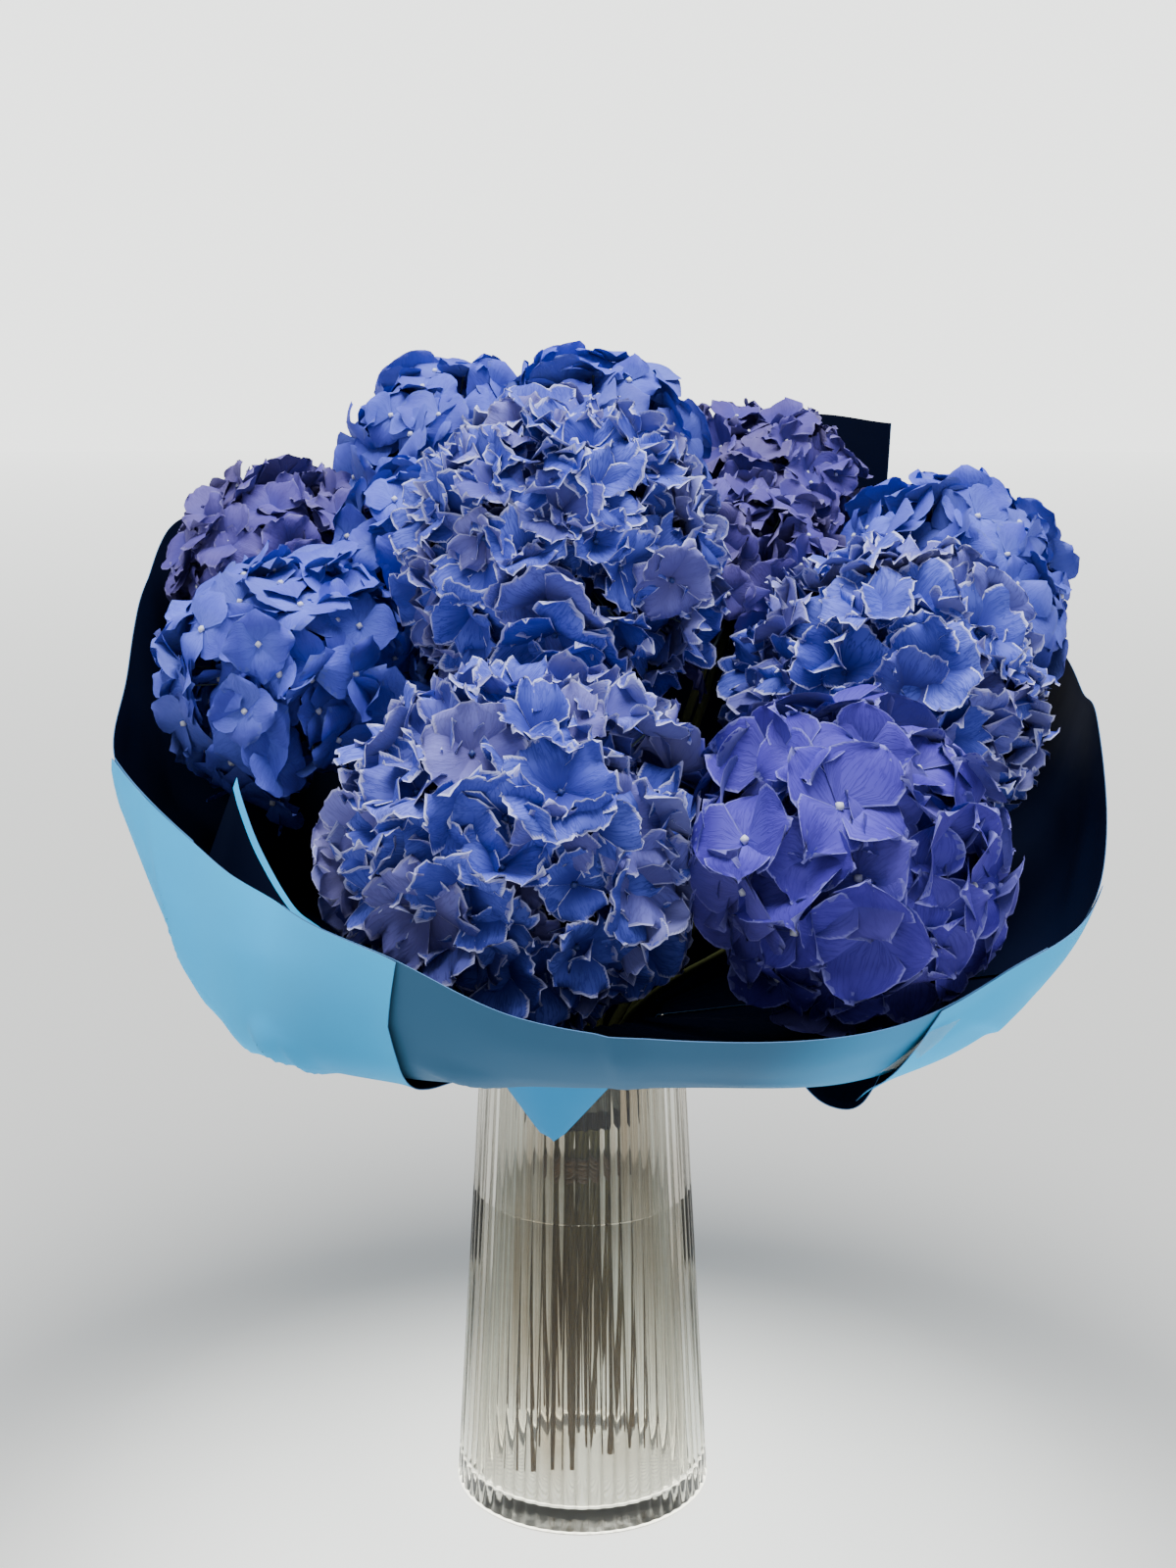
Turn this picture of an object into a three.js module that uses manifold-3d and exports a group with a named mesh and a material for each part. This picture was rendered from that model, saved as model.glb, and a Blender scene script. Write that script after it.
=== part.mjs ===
// Thirteen cut mophead hydrangeas in a two-tone paper wrap, standing in a ribbed glass vase.
// Millimetres, +Z up. The origin is the middle of the vase's foot, on the surface it stands on,
// and -Y is the open front of the bouquet, where the wrap is lowest.
// Azimuths are in degrees from +X towards +Y, so the front is at -90.
import * as THREE from "three";
import { mergeVertices } from "three/addons/utils/BufferGeometryUtils.js";
import Module from "manifold-3d";

const wasm = await Module();
wasm.setup();

const CLEARANCE = 0.3; // the gap between pieces that touch
const UP = new THREE.Vector3(0, 0, 1);
const { degToRad, lerp } = THREE.MathUtils;
const vec = (x, y, z) => new THREE.Vector3(x, y, z);
const onAzimuth = (azimuth, radius, z) =>
  vec(radius * Math.cos(degToRad(azimuth)), radius * Math.sin(degToRad(azimuth)), z);

// Pressed clear glass, a cone that narrows upwards, with straight ribs on its outside.
const VASE = {
  height: 300,
  footRadius: 77.5,
  rimRadius: 59.5,
  wall: 3.6,
  floor: 12,
  edge: 2.5, // the rounding at foot and rim
  ribs: 52,
  ribDepth: 1.1,
};
const WATER_LEVEL = 186;

// Woody stems, tied where they cross in a spiral.
const STEM = { radius: 3.1, sides: 5, steps: 10, tilt: degToRad(12), waist: 202, straightTo: 262 };
const OUTER_STEMS = { radius: 11.7, firstAzimuth: -150 }; // nine on a ring at the waist
const INNER_STEMS = { radius: 4.7, firstAzimuth: -110 }; // four inside it
const TWINE = { from: 193, to: 211, radius: 15.5, thickness: 3, turns: 3 };

// Each head's middle, radius and kind, as the heads crowd together in the bouquet.
const HEADS = [
  { name: "front", at: [-34, -168, 432], radius: 95, kind: "frilled" },
  { name: "front_right", at: [131, -186, 427], radius: 80, kind: "violet" },
  { name: "right", at: [170, -47, 492], radius: 88, kind: "frilled" },
  { name: "back_right", at: [227, 103, 535], radius: 80, kind: "blue" },
  { name: "back_middle", at: [112, 183, 582], radius: 76, kind: "mauve" },
  { name: "back", at: [3, 219, 557], radius: 72, kind: "blue" },
  { name: "back_left", at: [-91, 230, 616], radius: 71, kind: "blue" },
  { name: "left_back", at: [-186, 108, 545], radius: 73, kind: "mauve" },
  { name: "left", at: [-165, -9, 497], radius: 80, kind: "blue" },
  { name: "middle", at: [-12, -43, 572], radius: 88, kind: "frilled" },
  { name: "middle_back", at: [5, 108, 614], radius: 74, kind: "blue" },
  { name: "middle_left", at: [-88, 72, 558], radius: 64, kind: "blue" },
  { name: "middle_right", at: [95, 46, 546], radius: 66, kind: "mauve" },
];
const OUTER_HEADS = 9; // the others stand inside the ring of the first nine
const FAN_ORIGIN = vec(0, 0, 250); // the heads face away from this point in the vase's mouth
const HEAD = {
  floretArea: 4600, // mm2 of the head's surface to each floret
  reach: degToRad(120), // florets cover the head from its top to this angle
  core: 0.8, // shares of the head's radius: the packed inner flowers that the outer ones stand on
  root: 0.25,
  back: 0.5, // how far below its middle the core is flat
  layer: 12, // mm before a neighbour in which petals are bent clear of it
};
// A petal's rim from notch to notch: turn in quarter circles, reach and lift in floret radii.
const PETAL_RIM = {
  blue: [[-0.5, 0.42, -0.02], [-0.25, 0.96, 0.06], [0.24, 0.94, 0.04]],
  violet: [[-0.5, 0.38, -0.02], [-0.2, 0.84, 0.1], [0.08, 1.04, -0.04]],
  mauve: [[-0.5, 0.4, -0.02], [-0.26, 0.92, 0.1], [0.2, 0.98, -0.06]],
  frilled: [[-0.5, 0.42, -0.06], [-0.28, 0.98, 0.14], [0.22, 0.94, -0.08]],
};

// The paper wrap: one wide bowl of overlapping sheets, gathered at a neck inside the vase.
// Its section runs from the tail end through neck, mouth, crease and belly to the rim.
const PAPER = { thickness: 0.8, pitch: 2.2, bulge: 5 }; // pitch: from one layer to the next
const [TAIL_END, NECK, MOUTH, CREASE, BELLY, RIM] = [0, 1, 2, 3, 4, 5];
const WRAP = {
  tailEnd: [23, 231], // radius and height
  neck: [25, 262],
  mouth: [50, 303.6],
  // azimuth, radius and height of the crease, radius and height of the rim
  columns: [
    [-163, 250, 411, 266, 464],
    [-145, 241, 346, 245, 431],
    [-127, 256, 337, 244, 410],
    [-108, 280, 343, 294, 409],
    [-95, 286, 346, 306, 386],
    [-80, 288, 345, 312, 376],
    [-64, 286, 338, 312, 373],
    [-47, 279, 342, 300, 383],
    [-30, 276, 361, 305, 403],
    [-8, 270, 396, 292, 479],
    [8, 272, 404, 303, 484],
    [27, 285, 404, 340, 504],
    [47, 270, 398, 303, 641],
    [62, 262, 392, 306, 645],
    [85, 262, 386, 314, 599],
    [108, 258, 389, 300, 569],
    [128, 256, 397, 296, 582],
    [147, 256, 409, 309, 581],
    [160, 250, 413, 288, 546],
    [178, 240, 410, 266, 496],
  ],
};
// Each sheet's side edges as columns of the bowl, below the belly and from there up to the rim.
// Layer 1 is outside layer 0.
const SHEETS = [
  { name: "left_front", layer: 1, from: [-182, -163], to: [-95, -108] },
  { name: "front", layer: 0, from: [-127, -127], to: [-47, -47] },
  { name: "right_front", layer: 1, from: [-64, -47], to: [-30, -30] },
  { name: "right", layer: 0, from: [-30, -30], to: [27, 27] },
  { name: "back", layer: 1, from: [27, 47], to: [108, 108] },
  { name: "left", layer: 0, from: [85, 85], to: [215, 215] },
];
// Facets split from lower left to upper right, but the other way in the column after this one.
const OTHER_SPLIT = -108;
// The corner of an outermost sheet, which comes out under the front and hangs before the vase.
const CORNER = { layer: 2, wide: [-116, -68], narrow: [-131, -69], hang: 2.22, tip: [-16, -82, 249] };
const NECK_TAPE = { from: 244, to: 258, thickness: 0.8 };
const TAPE = { azimuths: [-60, -52], rows: [3.25, 3.85], thickness: 0.6 };

// ---------------------------------------------------------------- solids and meshes
// A closed geometry as a manifold solid.
function solid(geometry) {
  const bare = geometry.index ? geometry.toNonIndexed() : geometry.clone();
  for (const name of Object.keys(bare.attributes)) if (name !== "position") bare.deleteAttribute(name);
  const merged = mergeVertices(bare, 1e-3);
  return new wasm.Manifold(
    new wasm.Mesh({
      numProp: 3,
      vertProperties: merged.attributes.position.array,
      triVerts: new Uint32Array(merged.index.array),
    }),
  );
}

// The largest body of a manifold solid, as a geometry: a cut can leave a loose scrap.
function geometryOf(made) {
  const bodies = made.decompose().sort((a, b) => b.volume() - a.volume());
  const mesh = bodies[0].getMesh();
  const geometry = new THREE.BufferGeometry();
  geometry.setAttribute("position", new THREE.BufferAttribute(new Float32Array(mesh.vertProperties), 3));
  geometry.setIndex(new THREE.BufferAttribute(new Uint32Array(mesh.triVerts), 1));
  geometry.computeVertexNormals();
  return geometry;
}

const group = new THREE.Group();
function add(name, geometry, color, roughness, opacity = 1) {
  const material = new THREE.MeshStandardMaterial({ color, roughness, opacity, transparent: opacity < 1 });
  const mesh = new THREE.Mesh(geometry, material);
  mesh.name = name;
  group.add(mesh);
}

// Turns a profile of [radius, z] pairs about the Z axis.
function turned(profile, segments) {
  const points = profile.map(([r, z]) => new THREE.Vector2(r, z));
  return new THREE.LatheGeometry(points, segments).rotateX(Math.PI / 2);
}

// A straight or curved bar with flat ends.
function bar(path, radius, sides, steps) {
  const corners = [];
  for (let i = 0; i < sides; i++) {
    const a = (2 * Math.PI * i) / sides;
    corners.push(new THREE.Vector2(radius * Math.cos(a), radius * Math.sin(a)));
  }
  return new THREE.ExtrudeGeometry(new THREE.Shape(corners), { steps, extrudePath: path, bevelEnabled: false });
}

// ---------------------------------------------------------------- the vase
const vaseSlope = (VASE.rimRadius - VASE.footRadius) / VASE.height;
const outerRadius = (z) => VASE.footRadius + vaseSlope * z;
const innerRadius = (z) => outerRadius(z) - VASE.wall - VASE.ribDepth;

function vaseGeometry() {
  const { height, wall, floor, edge, ribs, ribDepth } = VASE;
  const profile = [
    [0, 0],
    [outerRadius(0) - edge, 0],
    [outerRadius(edge), edge],
    [outerRadius(height - edge), height - edge],
    [outerRadius(height) - ribDepth - wall / 2, height],
    [innerRadius(height - edge), height - edge],
    [innerRadius(floor + 2 * edge), floor + 2 * edge],
    [innerRadius(floor) - 2 * edge, floor],
    [0, floor],
  ];
  const geometry = turned(profile, 2 * ribs);
  // Every second line of the outer wall sinks by the depth of a rib.
  const p = geometry.attributes.position;
  for (let i = 0; i < p.count; i++) {
    const [x, y, z] = [p.getX(i), p.getY(i), p.getZ(i)];
    const r = Math.hypot(x, y);
    const line = Math.round((Math.atan2(y, x) / Math.PI) * ribs);
    const onOuterWall = z > 0 && z < height && r > outerRadius(z) - wall / 2;
    if (!onOuterWall || line % 2 === 0) continue;
    const k = (r - ribDepth) / r;
    p.setXYZ(i, x * k, y * k, z);
  }
  return geometry;
}
add("vase", vaseGeometry(), 0xd9dcd6, 0.08, 0.35);

// ---------------------------------------------------------------- the wrap's surface
const columns = WRAP.columns;
const columnPoint = (k, row) => {
  const [azimuth, creaseR, creaseZ, rimR, rimZ] = columns[k % columns.length];
  if (row === TAIL_END) return onAzimuth(azimuth, ...WRAP.tailEnd);
  if (row === NECK) return onAzimuth(azimuth, ...WRAP.neck);
  if (row === MOUTH) return onAzimuth(azimuth, ...WRAP.mouth);
  if (row === CREASE) return onAzimuth(azimuth, creaseR, creaseZ);
  if (row === RIM) return onAzimuth(azimuth, rimR, rimZ);
  return onAzimuth(azimuth, (creaseR + rimR) / 2 + PAPER.bulge, (creaseZ + rimZ) / 2);
};

// The point of the bowl at an azimuth and a row of its section, flat between columns and rows.
function wrapPoint(azimuth, row) {
  const first = columns[0][0];
  const turn = THREE.MathUtils.euclideanModulo(azimuth - first, 360);
  let k = columns.length - 1;
  while (columns[k][0] - first > turn) k--;
  const end = k + 1 < columns.length ? columns[k + 1][0] - first : 360;
  const across = (turn - (columns[k][0] - first)) / (end - (columns[k][0] - first));
  const low = Math.min(Math.floor(row), RIM - 1);
  const lower = columnPoint(k, low).lerp(columnPoint(k + 1, low), across);
  const upper = columnPoint(k, low + 1).lerp(columnPoint(k + 1, low + 1), across);
  return lower.lerp(upper, row - low);
}

// The bowl's outward normal there, away from the flowers.
function wrapNormal(azimuth, row) {
  const along = wrapPoint(azimuth + 6, row).sub(wrapPoint(azimuth - 6, row));
  const up = wrapPoint(azimuth, Math.min(row + 0.3, RIM)).sub(wrapPoint(azimuth, Math.max(row - 0.3, 0)));
  return along.cross(up).normalize();
}

const offWrap = (azimuth, row, distance) =>
  wrapPoint(azimuth, row).addScaledVector(wrapNormal(azimuth, row), distance);

// A thin closed sheet between two grids of points, rows by columns, the inner face first.
// A quad whose corners coincide shrinks to one triangle.
function sheetGeometry(inner, outer, otherSplit = -1) {
  const points = [];
  const triangle = (a, b, c) => {
    if (a.distanceTo(b) > 1e-3 && b.distanceTo(c) > 1e-3 && c.distanceTo(a) > 1e-3) points.push(a, b, c);
  };
  const quad = (a, b, c, d, other = false) => {
    triangle(a, b, other ? d : c);
    triangle(other ? b : a, c, d);
  };
  const [last, end] = [inner.length - 1, inner[0].length - 1];
  for (let i = 0; i < last; i++) {
    for (let j = 0; j < end; j++) {
      const [a, b, c, d] = [inner[i][j], inner[i + 1][j], inner[i + 1][j + 1], inner[i][j + 1]];
      quad(a, b, c, d, j === otherSplit);
      const [e, f, g, h] = [outer[i][j], outer[i + 1][j], outer[i + 1][j + 1], outer[i][j + 1]];
      quad(e, h, g, f, j === otherSplit);
    }
    quad(inner[i][0], outer[i][0], outer[i + 1][0], inner[i + 1][0]);
    quad(inner[i][end], inner[i + 1][end], outer[i + 1][end], outer[i][end]);
  }
  for (let j = 0; j < end; j++) {
    quad(inner[0][j], inner[0][j + 1], outer[0][j + 1], outer[0][j]);
    quad(inner[last][j], outer[last][j], outer[last][j + 1], inner[last][j + 1]);
  }
  const geometry = new THREE.BufferGeometry().setFromPoints(points);
  geometry.computeVertexNormals();
  return geometry;
}

SHEETS.forEach(({ name, layer, from, to }) => {
  const azimuths = [];
  for (const turn of [-360, 0, 360]) for (const [azimuth] of columns) azimuths.push(azimuth + turn);
  const used = azimuths.filter((a) => a >= Math.min(...from) && a <= Math.max(...to)).sort((a, b) => a - b);
  const face = (distance) =>
    [TAIL_END, NECK, MOUTH, CREASE, BELLY, RIM].map((row) => {
      const k = row > CREASE ? 1 : 0;
      return used.map((azimuth) => offWrap(THREE.MathUtils.clamp(azimuth, from[k], to[k]), row, distance));
    });
  const start = layer * PAPER.pitch;
  const sheet = sheetGeometry(face(start), face(start + PAPER.thickness), used.indexOf(OTHER_SPLIT));
  add("paper_" + name, sheet, 0x7fb4dc, 0.6);
});

// The hanging corner: under the front of the bowl, then down to its point.
function cornerGeometry() {
  const { layer, wide, narrow, hang, tip } = CORNER;
  const start = layer * PAPER.pitch;
  const share = [0, 0.25, 0.5, 0.75, 1];
  const face = (distance) => [
    share.map((s) => vec(...tip).add(vec((s - 0.5) * 1.2, -distance, 0))),
    share.map((s) => offWrap(lerp(...narrow, s), hang, start + distance)),
    share.map((s) => offWrap(lerp(...wide, s), 2.75, start + distance)),
  ];
  return sheetGeometry(face(0), face(PAPER.thickness));
}
add("paper_corner", cornerGeometry(), 0x7fb4dc, 0.6);

// A clear tape round the gathered neck, and a clear patch that joins two sheets at the front right.
const neckRadius = WRAP.neck[0] + 2 * PAPER.pitch - 0.6;
add(
  "tape_neck",
  turned(
    [
      [neckRadius, NECK_TAPE.from],
      [neckRadius + NECK_TAPE.thickness, NECK_TAPE.from],
      [neckRadius + NECK_TAPE.thickness, NECK_TAPE.to],
      [neckRadius, NECK_TAPE.to],
      [neckRadius, NECK_TAPE.from],
    ],
    16,
  ),
  0xc9cfc4,
  0.25,
);
function tapeGeometry() {
  const start = PAPER.pitch + PAPER.thickness + CLEARANCE;
  const face = (distance) =>
    TAPE.rows.map((row) => TAPE.azimuths.map((azimuth) => offWrap(azimuth, row, start + distance)));
  return sheetGeometry(face(0), face(TAPE.thickness));
}
add("tape_patch", tapeGeometry(), 0xc9cfc4, 0.25);

// ---------------------------------------------------------------- the flower heads
for (const head of HEADS) {
  head.middle = vec(...head.at);
  head.axis = head.middle.clone().sub(FAN_ORIGIN).normalize();
}

// A repeatable random number from 0 to 1.
function randomFrom(seed) {
  let state = Math.imul(seed, 2654435761) >>> 0;
  return () => {
    state = (Math.imul(state ^ (state >>> 15), 2246822519) + 3266489917) >>> 0;
    return ((state ^ (state >>> 13)) >>> 0) / 4294967296;
  };
}

// A floret is a funnel: four petals round an eye on top, drawn together to a root below.
function floretGeometry(kind, radius, stalk, turn) {
  const rim = [];
  for (let petal = 0; petal < 4; petal++) {
    for (const [share, reach, lift] of PETAL_RIM[kind]) {
      const angle = turn + ((petal + share) * Math.PI) / 2;
      rim.push(vec(Math.cos(angle) * reach * radius, Math.sin(angle) * reach * radius, lift * radius));
    }
  }
  const eye = vec(0, 0, -0.12 * radius);
  const root = vec(0, 0, -stalk);
  const points = [];
  rim.forEach((p, i) => {
    const next = rim[(i + 1) % rim.length];
    points.push(eye, p, next, root, next, p);
  });
  return new THREE.BufferGeometry().setFromPoints(points);
}

// The planes that a head stays behind: halfway to each head it crowds, and just inside the paper.
function headPlanes(head) {
  const planes = [];
  for (const other of HEADS) {
    const between = other.middle.clone().sub(head.middle);
    const distance = between.length();
    if (other === head || distance > head.radius + other.radius) continue;
    const share = (distance ** 2 + head.radius ** 2 - other.radius ** 2) / (2 * distance ** 2);
    const normal = between.clone().normalize();
    planes.push({ normal, offset: normal.dot(head.middle) + distance * share - CLEARANCE });
  }
  for (let azimuth = -180; azimuth < 180; azimuth += 4) {
    for (let row = MOUTH; row <= RIM; row += 0.25) {
      const point = wrapPoint(azimuth, row);
      const away = point.clone().sub(head.middle);
      if (away.length() > head.radius + 3) continue;
      if (planes.some(({ normal, offset }) => normal.dot(point) > offset + 1)) continue;
      const normal = away.normalize();
      planes.push({ normal, offset: normal.dot(point) - 3 });
    }
  }
  return planes;
}

// Draws a geometry's points inside the head's radius, and bends those that would cross a plane
// into the last layer before it, keeping their order.
function bendClear(geometry, head) {
  const p = geometry.attributes.position;
  for (let i = 0; i < p.count; i++) {
    const point = vec(p.getX(i), p.getY(i), p.getZ(i)).sub(head.middle).clampLength(0, head.radius);
    point.add(head.middle);
    for (const { normal, offset } of head.planes) {
      const past = normal.dot(point) - offset + HEAD.layer;
      if (past > 0) point.addScaledVector(normal, HEAD.layer * (1 - Math.exp(-past / HEAD.layer)) - past);
    }
    p.setXYZ(i, point.x, point.y, point.z);
  }
  return geometry;
}

function headSolid(head, index) {
  const random = randomFrom(index + 3);
  const facing = new THREE.Quaternion().setFromUnitVectors(UP, head.axis);
  const area = 2 * Math.PI * head.radius ** 2 * (1 - Math.cos(HEAD.reach));
  const florets = Math.round(area / HEAD.floretArea);
  const floretRadius = 0.51 * Math.sqrt(HEAD.floretArea);
  // The core is round in front and flat behind, where the stem enters.
  const core = new THREE.IcosahedronGeometry(head.radius * HEAD.core, 1);
  const c = core.attributes.position;
  for (let i = 0; i < c.count; i++) c.setZ(i, Math.max(c.getZ(i), -HEAD.back * head.radius));
  core.applyQuaternion(facing).translate(...head.at);
  const pieces = [solid(bendClear(core, head))];
  const golden = Math.PI * (3 - Math.sqrt(5));
  for (let i = 0; i < florets; i++) {
    const height = 1 - ((i + 0.5) / florets) * (1 - Math.cos(HEAD.reach));
    const round = golden * i + 0.2 * (random() - 0.5);
    const flat = Math.sqrt(1 - height * height);
    const outward = vec(flat * Math.cos(round), flat * Math.sin(round), height).applyQuaternion(facing);
    const lean = vec(random() - 0.5, random() - 0.5, random() - 0.5).multiplyScalar(0.24);
    const spin = new THREE.Quaternion().setFromUnitVectors(UP, outward.clone().add(lean).normalize());
    const stand = head.radius * (i % 2 ? 0.97 : 0.91);
    const radius = floretRadius * (0.95 + 0.1 * random());
    const floret = floretGeometry(head.kind, radius, stand - head.radius * HEAD.root, random() * Math.PI);
    floret.applyQuaternion(spin).translate(...outward.multiplyScalar(stand).add(head.middle));
    pieces.push(solid(bendClear(floret, head)));
  }
  let made = wasm.Manifold.union(pieces);
  for (const { normal, offset } of head.planes) {
    made = made.trimByPlane(normal.clone().negate().toArray(), -offset);
  }
  return made;
}
HEADS.forEach((head, index) => {
  head.planes = headPlanes(head);
  head.solid = headSolid(head, index);
});

// ---------------------------------------------------------------- the stems
// The stems lie as the rulings of a waisted bundle below the neck, then bend out to their heads.
const outer = HEADS.slice(0, OUTER_HEADS);
const azimuthOf = (head) => Math.atan2(head.axis.y, head.axis.x);
outer.sort((a, b) => azimuthOf(a) - azimuthOf(b));
const inner = HEADS.slice(OUTER_HEADS);
inner.sort((a, b) => azimuthOf(a) - azimuthOf(b));
inner.forEach((head, i) => {
  head.lean = INNER_STEMS.firstAzimuth + (360 / inner.length) * i;
  head.waist = onAzimuth(head.lean + 90, INNER_STEMS.radius, STEM.waist);
  head.tilt = STEM.tilt * 0.35;
});
outer.forEach((head, i) => {
  head.lean = OUTER_STEMS.firstAzimuth + (360 / OUTER_HEADS) * i;
  head.waist = onAzimuth(head.lean + 90, OUTER_STEMS.radius, STEM.waist);
  head.tilt = STEM.tilt;
});

let water = turned(
  [
    [0, VASE.floor + CLEARANCE],
    [innerRadius(VASE.floor) - 5 - CLEARANCE, VASE.floor + CLEARANCE],
    [innerRadius(VASE.floor + 5) - CLEARANCE - 0.2, VASE.floor + 5 + CLEARANCE],
    [innerRadius(WATER_LEVEL) - CLEARANCE, WATER_LEVEL],
    [0, WATER_LEVEL],
  ],
  28,
);
let waterSolid = solid(water);

HEADS.forEach((head, i) => {
  const run = vec(0, 0, 1).addScaledVector(onAzimuth(head.lean, 1, 0), Math.tan(head.tilt));
  const onLine = (z) => head.waist.clone().addScaledVector(run, z - STEM.waist);
  const foot = onLine(VASE.floor + 1.2);
  const bend = onLine(STEM.straightTo);
  const back = head.middle.clone().addScaledVector(head.axis, -HEAD.back * head.radius - 1);
  const path = new THREE.CurvePath();
  path.add(new THREE.LineCurve3(foot, bend));
  path.add(
    new THREE.CubicBezierCurve3(
      bend,
      onLine(STEM.straightTo + 58),
      back.clone().addScaledVector(head.axis, -80),
      back,
    ),
  );
  const stem = bar(path, STEM.radius, STEM.sides, STEM.steps);
  const upright = solid(stem).trimByPlane([0, 0, 1], VASE.floor + CLEARANCE);
  const hole = bar(new THREE.LineCurve3(onLine(0), onLine(STEM.straightTo)), STEM.radius + 1, STEM.sides, 1);
  waterSolid = waterSolid.subtract(solid(hole));
  head.stem = upright;
  add(`stem_${String(i + 1).padStart(2, "0")}`, geometryOf(upright), 0x6d5a36, 0.7);
});
add("water", geometryOf(waterSolid), 0xdfe4df, 0.02, 0.3);

// The twine: a few turns side by side round the crossing stems.
const twineStep = (TWINE.to - TWINE.from) / TWINE.turns;
const twineProfile = [[TWINE.radius, TWINE.from]];
for (let i = 0; i < TWINE.turns; i++) {
  twineProfile.push([TWINE.radius + 0.6 * TWINE.thickness, TWINE.from + i * twineStep]);
  twineProfile.push([TWINE.radius + TWINE.thickness, TWINE.from + (i + 0.5) * twineStep]);
}
twineProfile.push([TWINE.radius + 0.6 * TWINE.thickness, TWINE.to], [TWINE.radius, TWINE.to]);
add("twine", turned([...twineProfile, twineProfile[0]], 14), 0x5b4526, 0.9);

HEADS.forEach((head) => {
  const color = { blue: 0x3f5cc4, frilled: 0x5a72c8, violet: 0x5248b4, mauve: 0x7a70b8 }[head.kind];
  add("head_" + head.name, geometryOf(head.solid), color, 0.7);
});

export default group;
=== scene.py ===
import math

import bpy
import numpy as np
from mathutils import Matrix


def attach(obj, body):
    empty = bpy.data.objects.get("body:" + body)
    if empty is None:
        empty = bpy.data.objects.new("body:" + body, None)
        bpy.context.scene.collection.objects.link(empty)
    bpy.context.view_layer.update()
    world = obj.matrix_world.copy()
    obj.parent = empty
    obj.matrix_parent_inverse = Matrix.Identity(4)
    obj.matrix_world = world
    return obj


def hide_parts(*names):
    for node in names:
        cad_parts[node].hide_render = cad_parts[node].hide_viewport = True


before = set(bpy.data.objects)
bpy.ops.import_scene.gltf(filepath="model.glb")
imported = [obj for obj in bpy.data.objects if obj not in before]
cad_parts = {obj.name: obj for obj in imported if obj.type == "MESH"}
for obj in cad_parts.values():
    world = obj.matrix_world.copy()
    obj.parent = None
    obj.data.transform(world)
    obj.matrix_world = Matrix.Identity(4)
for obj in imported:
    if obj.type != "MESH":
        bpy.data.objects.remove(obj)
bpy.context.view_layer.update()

# ---------------- the studio
# A wide pale floor with painted light round the vase, where it is paler and glows in the bouquet's
# shadow, that fades into a pale background; soft light from the left and from above; and the
# camera 1.2 m in front of the bouquet, looking down at it.
studio = bpy.context.scene
camera = bpy.data.objects.new("camera", bpy.data.cameras.new("camera"))
camera.data.sensor_fit = "VERTICAL"
camera.data.sensor_height = 36
camera.data.lens = 46.8
camera.location = (0.0034, -1.172, 0.652)
camera.rotation_euler = (math.radians(79.5), 0, 0)
studio.collection.objects.link(camera)
studio.camera = camera


def soft_light(name, place, aim, size, watts, colour):
    """A square lamp whose -Z axis runs from its place to its aim."""
    lamp = bpy.data.lights.new(name, "AREA")
    lamp.size, lamp.energy, lamp.color = size, watts, colour
    obj = bpy.data.objects.new(name, lamp)
    obj.location = place
    gap = np.subtract(aim, place)
    obj.rotation_euler = (math.acos(-gap[2] / np.linalg.norm(gap)), 0, math.atan2(gap[0], -gap[1]))
    obj.visible_camera = False
    studio.collection.objects.link(obj)


soft_light("window", (-2.2, -0.55, 1.1), (0, 0, 0.42), 1.5, 540, (1, 0.985, 0.96))
soft_light("ceiling", (0.1, -0.45, 2.5), (0, 0, 0.4), 1.6, 140, (1, 1, 1))


def grid_faces(rows, columns, ring=False):
    """The four-cornered faces of a grid of points numbered row by row; a ring joins its ends."""
    i, j = np.mgrid[0 : rows - 1, 0 : columns - (not ring)]
    k = (j + 1) % columns
    corners = [i * columns + j, i * columns + k, (i + 1) * columns + k, (i + 1) * columns + j]
    return np.stack(corners, -1).reshape(-1, 4)


def surface(name, points, *faces):
    """A smooth mesh from points in millimetres and arrays of three- or four-cornered faces."""
    mesh = bpy.data.meshes.new(name)
    corners = np.concatenate([f.ravel() for f in faces]).astype(np.int32)
    sides = np.concatenate([np.full(len(f), f.shape[1]) for f in faces])
    mesh.vertices.add(len(points))
    mesh.vertices.foreach_set("co", (np.asarray(points) * 0.001).astype(np.float32).ravel())
    mesh.loops.add(len(corners))
    mesh.loops.foreach_set("vertex_index", corners)
    mesh.polygons.add(len(sides))
    mesh.polygons.foreach_set("loop_start", (np.cumsum(sides) - sides).astype(np.int32))
    mesh.polygons.foreach_set("use_smooth", np.ones(len(sides), bool))
    mesh.update(calc_edges=True)
    obj = bpy.data.objects.new(name, mesh)
    studio.collection.objects.link(obj)
    return obj


def polar(radius, turn, z):
    """Points at that radius, turn about Z and height."""
    return np.stack(np.broadcast_arrays(radius * np.cos(turn), radius * np.sin(turn), z), -1)


def coat(obj, *materials):
    """Gives the object these materials, in the order of its faces' material numbers."""
    for material in materials:
        obj.data.materials.append(material)


def node(tree, kind, settings={}, **sockets):
    """A shader node of that kind; each socket gets a plain value or a link from another socket.

    i0, i1 and so on are the sockets by number, for nodes that repeat a socket's name.
    """
    made = tree.nodes.new("ShaderNode" + kind)
    for key, value in settings.items():
        setattr(made, key, value)
    for key, value in sockets.items():
        numbered = key[0] == "i" and key[1:].isdigit()
        socket = made.inputs[int(key[1:]) if numbered else key.replace("_", " ")]
        if isinstance(value, bpy.types.NodeSocket):
            tree.links.new(value, socket)
        else:
            socket.default_value = value
    return made


def finish_of(name, **shader):
    """A material with one Principled shader set to these values; returns both and the node tree."""
    material = bpy.data.materials.new(name)
    material.use_nodes = True
    tree = material.node_tree
    principled = tree.nodes["Principled BSDF"]
    for key, value in shader.items():
        principled.inputs[key.replace("_", " ")].default_value = value
    return material, tree, principled


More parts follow.
